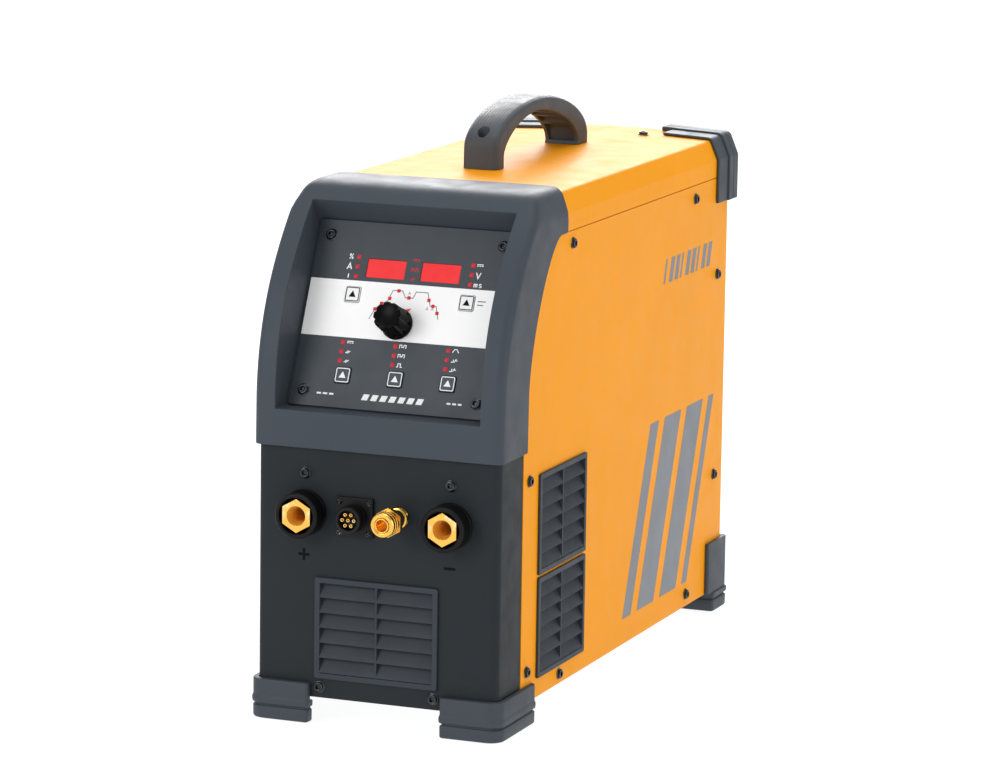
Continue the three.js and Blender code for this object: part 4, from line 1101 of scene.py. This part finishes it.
def make_legends():
    white = bmesh.new()
    write(white, "%", -58.6, 71.0, 4.6, 0.75)
    write(white, "A", -59.0, 61.9, 5.2, 0.95)
    stroke(white, [(-56.6, 54.4), (-56.6, 57.9)], 1.1, *INK)
    draw(white, "dots", 57.6, 71.6, 0.95, 0.8)
    write(white, "V", 58.2, 62.0, 5.0, 0.95)
    write(white, "m", 57.8, 54.2, 3.4, 0.8)
    write(white, "s", 62.2, 54.2, 3.0, 0.7)
    columns = ((-46.6, ("dots", "spot", "spot")), (1.2, ("double", "double", "pulse")),
               (49.2, ("ramp", "strike", "strike")))
    for x, names in columns:
        for name, y in zip(names, (-3.4, -11.6, -19.6)):
            draw(white, name, x, y, 0.95, 0.75)
    for x, wide in ((-66.0, 17.0), (52.0, 15.0)):
        for i in range(3):
            left = x + i * wide / 3
            stroke(white, [(left, -47.4), (left + wide / 3 - 1.6, -47.4)], 1.5, *INK)
    for i in range(7):
        left = -25 + i * 8.2
        add_prism(white, [(left, -50.6), (left + 5.4, -50.6), (left + 7.2, -45.4), (left + 1.8, -45.4)],
                  *INK)
    piece("white_legends", mesh_of(white, FACE), white_print, slot="face_plate")

    grey = bmesh.new()
    curve = [(-31, 20), (-27.1, 28.9), (-22.1, 34.1), (-17.0, 36.5), (-13.6, 46.3), (-5.0, 46.3),
             (-1.5, 40.7), (5.4, 40.7), (7.4, 46.3), (18.0, 46.3), (20.2, 39.9), (22.0, 35.0),
             (27.4, 35.0), (29.2, 29.2), (31, 24)]
    stroke(grey, curve, 0.7, 0.07, 0.12)
    for x, y in ((0.6, 43.6), (18.6, 31.2), (23.4, 31.2)):
        write(grey, "A", x, y, 2.6, 0.35)
    for i, y in enumerate((42.2, 39.0)):
        stroke(grey, [(63.6, y), (71.0 - 2 * i, y)], 0.9, 0.07, 0.12)
    piece("grey_legends", mesh_of(grey, FACE), grey_print)


def make_keys():
    half = KEY_SIZE / 2
    for i, (x, y) in enumerate(KEY_SPOTS):
        body = f"key_{i + 1}"
        centre = (CONTENT_X + x, y)
        upper = y > 0
        cap = bmesh.new()
        side = rectangle(KEY_SIZE, KEY_SIZE, 1.5, *centre)
        crown = rectangle(KEY_SIZE - 0.7, KEY_SIZE - 0.7, 1.2, *centre)
        skirt = rectangle(KEY_SIZE + 2.8, KEY_SIZE + 2.8, 2, *centre)
        levels = ((skirt, -4.4), (skirt, -2.8), (side, -2.8), (side, KEY_PROUD - 0.3),
                  (crown, KEY_PROUD))
        add_loops(cap, [[(u, v, out) for u, v in loop] for loop, out in levels])
        piece(f"{body}_cap", mesh_of(cap, FACE), pale_key if upper else dark_key, body, "key_silicone",
              replaces=[body])
        mark = bmesh.new()
        top = (KEY_PROUD + 0.01, KEY_PROUD + 0.06)
        ring = rectangle(KEY_SIZE - 1.7, KEY_SIZE - 1.7, 1.1, *centre)
        stroke(mark, ring, 0.8, *top, closed=True)
        size = 3.2
        add_prism(mark, [(centre[0] - size, y - size * 0.75), (centre[0] + size, y - size * 0.75),
                         (centre[0], y + size)], *top)
        piece(f"{body}_legend", mesh_of(mark, FACE), black_print if upper else white_print, body,
              "key_silicone")


def make_knob():
    """Nine-fluted knob with a dished cap and a flared foot."""
    steps = FLUTES * 12
    profile = [(3.4, 1.2), (13.4, 1.2), (13.8, 1.6), (13.8, 3.6), (13.4, 4.4), (13.1, 4.8), (12.4, 25.4),
               (12.0, 26.9), (11.1, 27.8), (9.9, 28.0), (9.2, 27.5), (0.01, 27.3)]
    bm = bmesh.new()
    loops = []
    for radius, out in profile:
        deep = FLUTE_DEPTH if 4.5 < out < 27.9 and radius > 10 else 0.0
        loop = []
        for i in range(steps):
            t = 2 * math.pi * i / steps
            dip = deep * max(0.0, math.cos(FLUTES * t)) ** 1.5
            loop.append((KNOB_AT[0] + (radius - dip) * math.cos(t),
                         KNOB_AT[1] + (radius - dip) * math.sin(t), out))
        loops.append(loop)
    add_loops(bm, loops)
    knob = piece("knob_grip", mesh_of(bm, FACE, 40), knob_plastic, "control_knob", replaces=["knob"])
    soften(knob, 0.2, 2, 50)


# Handle

HANDLE_X = 16.5
HANDLE_FRONT = 218.0
HANDLE_REAR = 445.0
HANDLE_PEAK = (322.0, 480.3)
HANDLE_UNDER = 468.0
HANDLE_BOLTS = {"front": 227.5, "rear": 431.0}
BOLT_SEAT = 444.0


def handle_lines():
    """Outer and inner lines of the arch as matching (y, z) points, front leg to rear leg."""
    front, rear = HANDLE_FRONT, HANDLE_REAR
    peak_y, peak_z = HANDLE_PEAK
    base = roof_z + 0.3
    outer = line_points((front, base), (front + 1, 447), 4)
    outer += bezier((front + 1, 447), (front + 2, 463), (peak_y - 60, peak_z), (peak_y, peak_z), 24)[1:]
    outer += bezier((peak_y, peak_z), (peak_y + 56, peak_z), (rear - 2, 459), (rear, 436), 24)[1:]
    outer += line_points((rear, 436), (rear, base), 4)[1:]
    inner = line_points((front + 18.5, base), (front + 18, 436), 4)
    inner += bezier((front + 18, 436), (front + 19, 448), (peak_y - 50, HANDLE_UNDER),
                    (peak_y - 4, HANDLE_UNDER), 24)[1:]
    inner += bezier((peak_y - 4, HANDLE_UNDER), (peak_y + 30, HANDLE_UNDER), (rear - 29, 450),
                    (rear - 27, 430), 24)[1:]
    inner += line_points((rear - 27, 430), (rear - 28, base), 4)[1:]
    return outer, inner


def make_handle():
    loops = []
    for top, under in zip(*handle_lines()):
        a, b = Vector(top), Vector(under)
        half = (a - b).length / 2
        across = (a - b).normalized()
        centre = (a + b) / 2
        corners = [(-HANDLE_X, -half, 2.6), (HANDLE_X, -half, 2.6), (HANDLE_X, half, 5.5),
                   (-HANDLE_X, half, 5.5)]
        section = rounded(corners, 0.0, 6)
        loops.append([(x, centre.x + across.x * v, centre.y + across.y * v) for x, v in section])
    arch = piece("handle_arch", mesh_of(add_loops(bmesh.new(), loops), CASE, 40), handle_plastic,
                 replaces=["handle"])
    peak_y, peak_z = HANDLE_PEAK
    under_plane = plane(CASE_ORIGIN, (0, 1, 0), (0, 0, 1))
    channel = bezier((HANDLE_FRONT + 20, 438), (HANDLE_FRONT + 24, 458), (peak_y - 58, peak_z - 4),
                     (peak_y, peak_z - 4), 40)
    channel += bezier((peak_y, peak_z - 4), (peak_y + 52, peak_z - 4), (HANDLE_REAR - 32, 460),
                      (HANDLE_REAR - 28, 438), 40)[1:]
    tools = []
    for i in range(-4, 5):
        low, high = peak_y + i * 20 + 1.2, peak_y + (i + 1) * 20 - 1.2
        top = [p for p in channel if low <= p[0] <= high]
        tools.append(tool_prism([(low, 430), (high, 430)] + top[::-1], -12.3, 12.3, under_plane))
    for y in HANDLE_BOLTS.values():
        tools.append(tool_prism(polygon(40, 5.3, 0, y), BOLT_SEAT, 500, CASE))
        tools.append(tool_prism(polygon(24, 3.4, 0, y), 420, BOLT_SEAT + 9, CASE))
    carve(arch, tools)
    soften(arch, 0.5, 2, 40)
    for name, y in HANDLE_BOLTS.items():
        low, high = BOLT_SEAT + 0.3, BOLT_SEAT + 5.2
        bm = lathe([(0, 414), (3, 414), (3, low), (4.9, low), (4.9, high - 0.6), (4.4, high),
                    (2.8, high), (2.5, high - 0.3), (2.5, high - 2.8), (0, high - 2.8)], 0, y, 40)
        made = piece(f"handle_screw_{name}", mesh_of(bm, CASE), black_screw,
                     replaces=[f"handle_bolt_{name}"])
        soften(made, 0.2, 2)


# Feet and rear corner guards

FOOT_X = 114.4
FOOT_BOTTOM = -22.0
FOOT_WALL = 9.4


def foot_loop(x0, x1, y0, y1, grow, corner, z):
    corners = [(x0 - grow, y0 - grow, 2.0), (x1 + grow, y0 - grow, corner), (x1 + grow, y1 + grow, 4.0),
               (x0 - grow, y1 + grow, 2.0)]
    return [(x, y, z) for x, y in rounded(corners, 2.0, 7)]


def make_feet():
    profile = [(FOOT_BOTTOM, -1.3), (FOOT_BOTTOM + 0.4, -0.5), (FOOT_BOTTOM + 1.4, 0.0), (-12.0, 0.1),
               (-11.2, -0.3), (-10.7, -1.3), (-10.0, -1.4), (-9.6, -0.9), (-8.4, 0.5), (-6.4, 0.8),
               (-4.2, 0.75), (-3.0, 0.3)]
    loops = [foot_loop(60, FOOT_X, -6, 78, grow, 12.0, z) for z, grow in profile]
    rim = ((-1.4, 0.0), (11.4, 0.0), (12.1, -0.3), (12.4, -0.9))
    loops += [foot_loop(60, FOOT_X, -6, 78, grow, 12.0, z) for z, grow in rim]
    front = piece("front_foot_right", mesh_of(add_loops(bmesh.new(), loops), CASE), trim_plastic,
                  replaces=["foot_front_right"])
    pocket = rounded([(30, -0.3), (side_x + 0.3, -0.3, 6.8), (side_x + 0.3, 100), (30, 100)], 0.0, 7)
    near, side = FOOT_WALL - 6, FOOT_X - FOOT_WALL
    hollow = rounded([(30, near), (side, near, 4.0), (side, 100), (30, 100)], 0.0, 6)
    carve(front, [tool_prism(pocket, FLOOR - 0.3, 40, CASE), tool_prism(hollow, -60, 20, CASE)])
    soften(front, 0.5, 2, 40)

    rear_profile = [(z, grow) for z, grow in profile if z < -3.5]
    loops = [foot_loop(80, FOOT_X, 537, 576, grow, 3.0, z) for z, grow in rear_profile]
    loops.append(foot_loop(80, FOOT_X, 537, 576, 0.0, 3.0, FLOOR - 0.3))
    bm = add_loops(bmesh.new(), loops)
    wall = rounded([(84, 572.6), (84, rear_y + 0.4), (side_x + 0.4, rear_y + 0.4), (side_x + 0.4, 523.4),
                    (FOOT_X - 0.4, 523.4, 2.0), (FOOT_X - 0.4, 576, 5.0), (84, 576, 2.0)], 0.0, 6)
    add_prism(bm, wall, FLOOR - 0.2, 45)
    rear = piece("rear_foot_right", mesh_of(bm, CASE), trim_plastic, replaces=["foot_rear_right"])
    soften(rear, 0.8, 3, 40)
    for made, end in ((front, "front"), (rear, "rear")):
        other = piece(f"{end}_foot_left", flipped(made.data), trim_plastic,
                      replaces=[f"foot_{end}_left"])
        soften(other, made.modifiers["edges"].width / MM, 2, 40)


def make_guards():
    sharp = [(side_x, 365), SHOULDER[0], SHOULDER[1], (CROWN_X, roof_z)]
    line = rounded([sharp[0], (*sharp[1], 3.0), (*sharp[2], 3.0), sharp[3]], 0.0, 5, closed=False)

    def band(near, far, end):
        """The guard's section: from near to far outside the roof line, stopping at x = end."""
        edges = []
        for corners, away in ((line, far), (sharp if near < 0 else line, near)):
            whole = offset_line(corners, -away)
            kept = [p for p in whole if p[0] > end]
            share = (kept[-1][0] - end) / (kept[-1][0] - whole[-1][0])
            edges.append(kept + [tuple(Vector(kept[-1]).lerp(Vector(whole[-1]), share))])
        return edges[0] + edges[1][::-1]

    bm = prism(band(0.4, 3.0, 57), -558.0, -532.0)
    add_prism(bm, band(0.4, 4.75, 47), -rear_y - 0.4, -557.0)
    add_prism(bm, band(-13, 4.75, 47), -581.0, -rear_y - 0.4)
    right = piece("corner_guard_right", mesh_of(bm, FRONT), trim_plastic, replaces=["rear_guard_right"])
    left = piece("corner_guard_left", flipped(right.data), trim_plastic, replaces=["rear_guard_left"])
    for made in (right, left):
        soften(made, 1.1, 3, 40)


# Rear panel equipment


def make_fan():
    centre = (-FAN_AT[0], FAN_AT[1])
    soften(nodes["fan_frame"], 0.6, 2, 40)
    rotor = bmesh.new()
    hub = [(0, -29), (19, -29), (21, -27.5), (21, -8), (20, -6.5), (16, -6), (0, -6)]
    add_lathe(rotor, hub, *centre, steps=48)
    for i in range(FAN_BLADES):
        loops = []
        for k in range(9):
            r = 20.5 + 33.8 * k / 8
            turn = 2 * math.pi * i / FAN_BLADES + 0.28 * k / 8
            pitch = math.radians(52 - 18 * k / 8)
            wide = 13.5 + 2.0 * k / 8
            loop = []
            for u, v in [(-1, -0.06), (-0.4, 0.10), (0.3, 0.12), (1, 0.0), (0.3, 0.02), (-0.4, 0.0)]:
                along = wide * (u * math.cos(pitch) - v * math.sin(pitch))
                out = wide * (u * math.sin(pitch) + v * math.cos(pitch)) * 0.74 - 17.5
                angle = turn + along / r
                loop.append((centre[0] + r * math.cos(angle), centre[1] + r * math.sin(angle), out))
            loops.append(loop)
        add_loops(rotor, loops)
    piece("fan_impeller", mesh_of(rotor, REAR, 45), black_plastic, "fan", replaces=["fan_rotor"])

    guard = bmesh.new()
    wire = 0.9
    for radius in (10, 18, 26, 34, 42, 50):
        add_lathe(guard, polygon(10, wire, radius, 3.4, 0), *centre, steps=72)
    section = polygon(10, 1.0, 0, 0, 0)
    for turn in (45, 135, 225, 315):
        t = math.radians(turn)
        along = Vector((math.cos(t), math.sin(t)))
        side = Vector((-along.y, along.x))
        loops = []
        for r, out in ((8, 1.7), (66, 1.7), (70, 1.5), (74.2, 1.4)):
            middle = Vector(centre) + along * r
            loops.append([(*(middle + side * wire * u), out + wire * v) for u, v in section])
        add_loops(guard, loops)
        eye = [(3.0 + u, 1.5 + 0.95 * v) for u, v in section]
        add_lathe(guard, eye, *(Vector(centre) + along * 74.2), steps=32)
    piece("fan_wire_guard", mesh_of(guard, REAR, 50), bright_wire, replaces=["fan_guard"])
    reach = FAN_SCREWS
    corners = [(centre[0] + i * reach, centre[1] + j * reach) for i in (-1, 1) for j in (-1, 1)]
    screws("fan_screw", REAR, corners, placed(SCREW, Matrix.Scale(0.8, 4)), 2.6)


def make_switch():
    at = (-SWITCH_AT[0], SWITCH_AT[1])
    bm = prism(rectangle(48, 48, 5, *at), 0.3, 3.2)
    cover = piece("switch_plate", mesh_of(bm, REAR), black_plastic, replaces=["power_switch_body"])
    carve(cover, [tool_prism(polygon(40, 6.5, *at), -9, 9, REAR)])
    soften(cover, 0.9, 3)
    works = piece("switch_works", mesh_of(prism(rectangle(43, 43, 3, *at), -46, -2.2), REAR),
                  black_plastic)
    soften(works, 0.6, 2)
    marks = bmesh.new()
    stroke(marks, [(at[0], at[1] + 18.6), (at[0], at[1] + 22.0)], 1.0, 3.22, 3.3)
    ring = arc(at[0] - 20.2, at[1], 1.6, 0, 360, 24)[:-1]
    stroke(marks, ring, 0.7, 3.22, 3.3, closed=True)
    piece("switch_marks", mesh_of(marks, REAR), white_print)
    corners = [(at[0] + i * 19.4, at[1] + j * 19.4) for j in (1, -1) for i in (-1, 1)]
    screws("switch_screw", REAR, corners, SMALL_SCREW, 3.2)
    dial = lathe([(0, 4.5), (16.4, 4.5), (17, 5.0), (17, 8.2), (16.2, 9.0), (0, 9.0)], *at, steps=64)
    grip_low = rectangle(11, 32, 4, *at)
    grip_top = rectangle(8.6, 30.4, 3.4, *at)
    levels = ((grip_low, 8.6), (grip_low, 20.4), (grip_top, 22.8))
    add_loops(dial, [[(x, y, out) for x, y in loop] for loop, out in levels])
    add_lathe(dial, [(0, -8), (6, -8), (6, 4.6), (0, 4.6)], *at, steps=32)
    knob = piece("switch_grip", mesh_of(dial, REAR), black_plastic, "power_switch",
                 replaces=["power_switch_knob"])
    soften(knob, 0.5, 3, 40)
    pointer = bmesh.new()
    stroke(pointer, [(at[0], at[1] + 7), (at[0], at[1] + 14)], 1.6, 22.82, 22.9)
    piece("switch_pointer", mesh_of(pointer, REAR), white_print, "power_switch")


def make_gland():
    at = (-GLAND_AT[0], GLAND_AT[1])
    thread = lathe([(7, -13), (10, -13), (10, 0.3), (13.2, 0.3), (13.2, 1.1), (7, 1.1)], *at, steps=56)
    piece("gland_thread", mesh_of(thread, REAR), black_plastic, replaces=["cable_gland"])
    hexagon = prism(rounded([(*p, 1.0) for p in polygon(6, 13.9, *at)], 1.0, 3), 1.2, 7.4)
    body = piece("gland_body", mesh_of(hexagon, REAR), black_plastic)
    carve(body, [tool_prism(polygon(40, 7, *at), -2, 12, REAR)])
    soften(body, 0.4, 2)
    dome = [(7.0, 7.6), (12.3, 7.6), (12.5, 8.0), (12.5, 17.5), (12.0, 19.6), (10.6, 22.2), (9.3, 23.7),
            (8.4, 24.0), (7.2, 23.6)]
    cap = lathe(dome, *at, steps=56)
    for i in range(12):
        t = 2 * math.pi * i / 12
        x, y = at[0] + 12.5 * math.cos(t), at[1] + 12.5 * math.sin(t)
        add_loops(cap, [[(*p, out) for p in polygon(10, 0.9, x, y, 0)] for out in (8.4, 16.8)])
    piece("gland_cap", mesh_of(cap, REAR), black_plastic)


def make_gas_inlet():
    at = (-INLET_AT[0], INLET_AT[1])
    profile = [(2.4, -17), (5, -17), (5, 0.3), (6, 0.3), (6, 10), (4, 10.4)]
    for i in range(4):
        low = 11.3 + i * 4.0
        profile += [(4.0, low), (5.2, low + 0.4), (4.1, low + 3.7)]
    profile += [(4.0, 27.4), (3.4, 28), (2.4, 28)]
    bm = lathe(profile, *at, steps=40)
    add_prism(bm, polygon(6, 9.6, *at), 0.4, 8)
    inlet = piece("gas_inlet_barb", mesh_of(bm, REAR), brass, replaces=["gas_inlet"])
    soften(inlet, 0.25, 2, 40)


# Side decals


def slanted(left, wide, low, high, lean, way):
    """A leaning bar's outline on the right side, or its mirror on the left side where way is -1."""
    corners = ((left, low), (left + wide, low), (left + wide + lean, high), (left + lean, high))
    return [(way * y, z) for y, z in corners][::way]


def make_decals():
    """Plain slanted stripes on each side, and a short row of slanted bars near the top rear."""
    stripes = ((300, 22), (338, 44), (398, 44), (458, 14))
    for name, matrix, way in (("right", RIGHT, 1), ("left", LEFT, -1)):
        bm = bmesh.new()
        for start, wide in stripes:
            add_prism(bm, rounded(slanted(start, wide, 20.0, 186.0, 66.0, way), 0.8, 3), 0.02, 0.1)
        piece(f"side_stripes_{name}", mesh_of(bm, matrix), decal_film)
        row = bmesh.new()
        for i in range(9):
            wide = 9.5 if i % 3 else 4.5
            add_prism(row, slanted(392 + i * 14.6, wide, 309, 331, 7, way), 0.02, 0.1)
        piece(f"side_bars_{name}", mesh_of(row, matrix), decal_film)


# Finishes of the CAD pieces that stay as they are

KEPT = {
    "base_pan": zinc_steel, "control_board": circuit_board, "encoder_body": zinc_steel,
    "encoder_plunger": black_plastic, "encoder_shaft": zinc_steel, "fan_frame": black_plastic,
    "inner_deck": zinc_steel, "heatsink": aluminium, "power_board": circuit_board,
    "capacitor_left": capacitor_sleeve, "capacitor_right": capacitor_sleeve,
    "transformer_core": ferrite, "transformer_winding": copper, "hf_coil": copper,
    "gas_valve_body": brass, "gas_valve_plunger": zinc_steel, "gas_hose": hose_rubber,
}


def finish_kept():
    for node, material in KEPT.items():
        mesh = nodes[node].data
        mesh.materials.clear()
        mesh.materials.append(material)
        if node not in ("gas_hose", "fan_frame"):
            soften(nodes[node], 0.4, 2, 40)


# Stage, light and camera

VIEW_AZIMUTH = 21.5089
VIEW_ELEVATION = 10.198
VIEW_ROLL = 0.839
VIEW_LENS = 168.67
VIEW_DISTANCE = 3826.38
VIEW_TARGET = (105.489, 0.0, 281.467)
WORLD_LIGHT = 0.55
WORLD_SEEN = 1.2


def make_camera():
    az, el, roll = (math.radians(a) for a in (VIEW_AZIMUTH, VIEW_ELEVATION, VIEW_ROLL))
    back = Vector((math.sin(az) * math.cos(el), -math.cos(az) * math.cos(el), math.sin(el)))
    level = Vector((math.cos(az), math.sin(az), 0))
    upright = back.cross(level)
    right = level * math.cos(roll) + upright * math.sin(roll)
    up = upright * math.cos(roll) - level * math.sin(roll)
    camera = bpy.data.objects.new("camera", bpy.data.cameras.new("camera"))
    turn = Matrix((right, up, back)).transposed().to_4x4()
    place = case_point(*VIEW_TARGET) + back * VIEW_DISTANCE * MM
    camera.matrix_world = Matrix.Translation(place) @ turn
    camera.data.lens = VIEW_LENS
    camera.data.sensor_width = 36
    camera.data.clip_end = 100
    bpy.context.scene.collection.objects.link(camera)
    bpy.context.scene.camera = camera


def make_light(name, spot, aim, size, power):
    data = bpy.data.lights.new(name, "AREA")
    data.shape = "RECTANGLE"
    data.size, data.size_y = size
    data.energy = power
    lamp = bpy.data.objects.new(name, data)
    lamp.location = spot
    lamp.rotation_euler = (Vector(spot) - Vector(aim)).to_track_quat("Z", "Y").to_euler()
    bpy.context.scene.collection.objects.link(lamp)


def make_world():
    """A white studio: full white where the camera sees it, softer as a light."""
    world = bpy.data.worlds.new("studio")
    bpy.context.scene.world = world
    world.use_nodes = True
    tree = world.node_tree
    tree.nodes["Background"].inputs["Color"].default_value = (1, 1, 1, 1)
    path = tree.nodes.new("ShaderNodeLightPath")
    strength = tree.nodes.new("ShaderNodeMapRange")
    strength.inputs["To Min"].default_value = WORLD_LIGHT
    strength.inputs["To Max"].default_value = WORLD_SEEN
    tree.links.new(path.outputs["Is Camera Ray"], strength.inputs["Value"])
    tree.links.new(strength.outputs["Result"], tree.nodes["Background"].inputs["Strength"])


def make_stage():
    bm = bmesh.new()
    half = 9.0
    corners = ((-half, -half), (half, -half), (half, half), (-half, half))
    bm.faces.new([bm.verts.new((x, y, 0)) for x, y in corners])
    mesh = bpy.data.meshes.new("floor")
    bm.to_mesh(mesh)
    bm.free()
    floor = bpy.data.objects.new("floor", mesh)
    floor.location.z = cad_low.z - 0.0005
    bpy.context.scene.collection.objects.link(floor)
    paper = finish("floor_white", "808080", 0.9, patchy=0.003, grain=40, bump=0.02, gloss=0.1)
    glow = paper.node_tree.nodes["Principled BSDF"].inputs
    glow["Emission Color"].default_value = (1, 1, 1, 1)
    glow["Emission Strength"].default_value = 0.9
    mesh.materials.append(paper)

    make_world()
    middle = (0, 0, 0.25)
    make_light("overhead", (0.1, 0.15, 2.4), (0, 0.1, 0.4), (1.6, 1.8), 20)
    make_light("right_soft", (3.2, -0.6, 1.1), middle, (2.0, 2.0), 20)
    make_light("front_soft", (-1.6, -3.0, 1.5), middle, (1.6, 1.6), 36)
    make_light("rear_soft", (-1.2, 3.0, 1.9), (0, 0.1, 0.45), (2.6, 1.6), 120)
    bpy.context.scene.view_settings.view_transform = "Standard"


make_camera()
make_stage()
make_cover()
make_side_panels()
make_front_panel()
make_rear_panel()
for side, spot in (("pos", WELD_LEFT), ("neg", WELD_RIGHT)):
    make_weld_socket(side, spot)
make_torch_socket()
make_gas_fitting()
make_grilles()
make_hood()
make_plate()
make_displays()
make_lamps()
make_legends()
make_keys()
make_knob()
make_handle()
make_feet()
make_guards()
make_fan()
make_switch()
make_gland()
make_gas_inlet()
make_decals()
finish_kept()
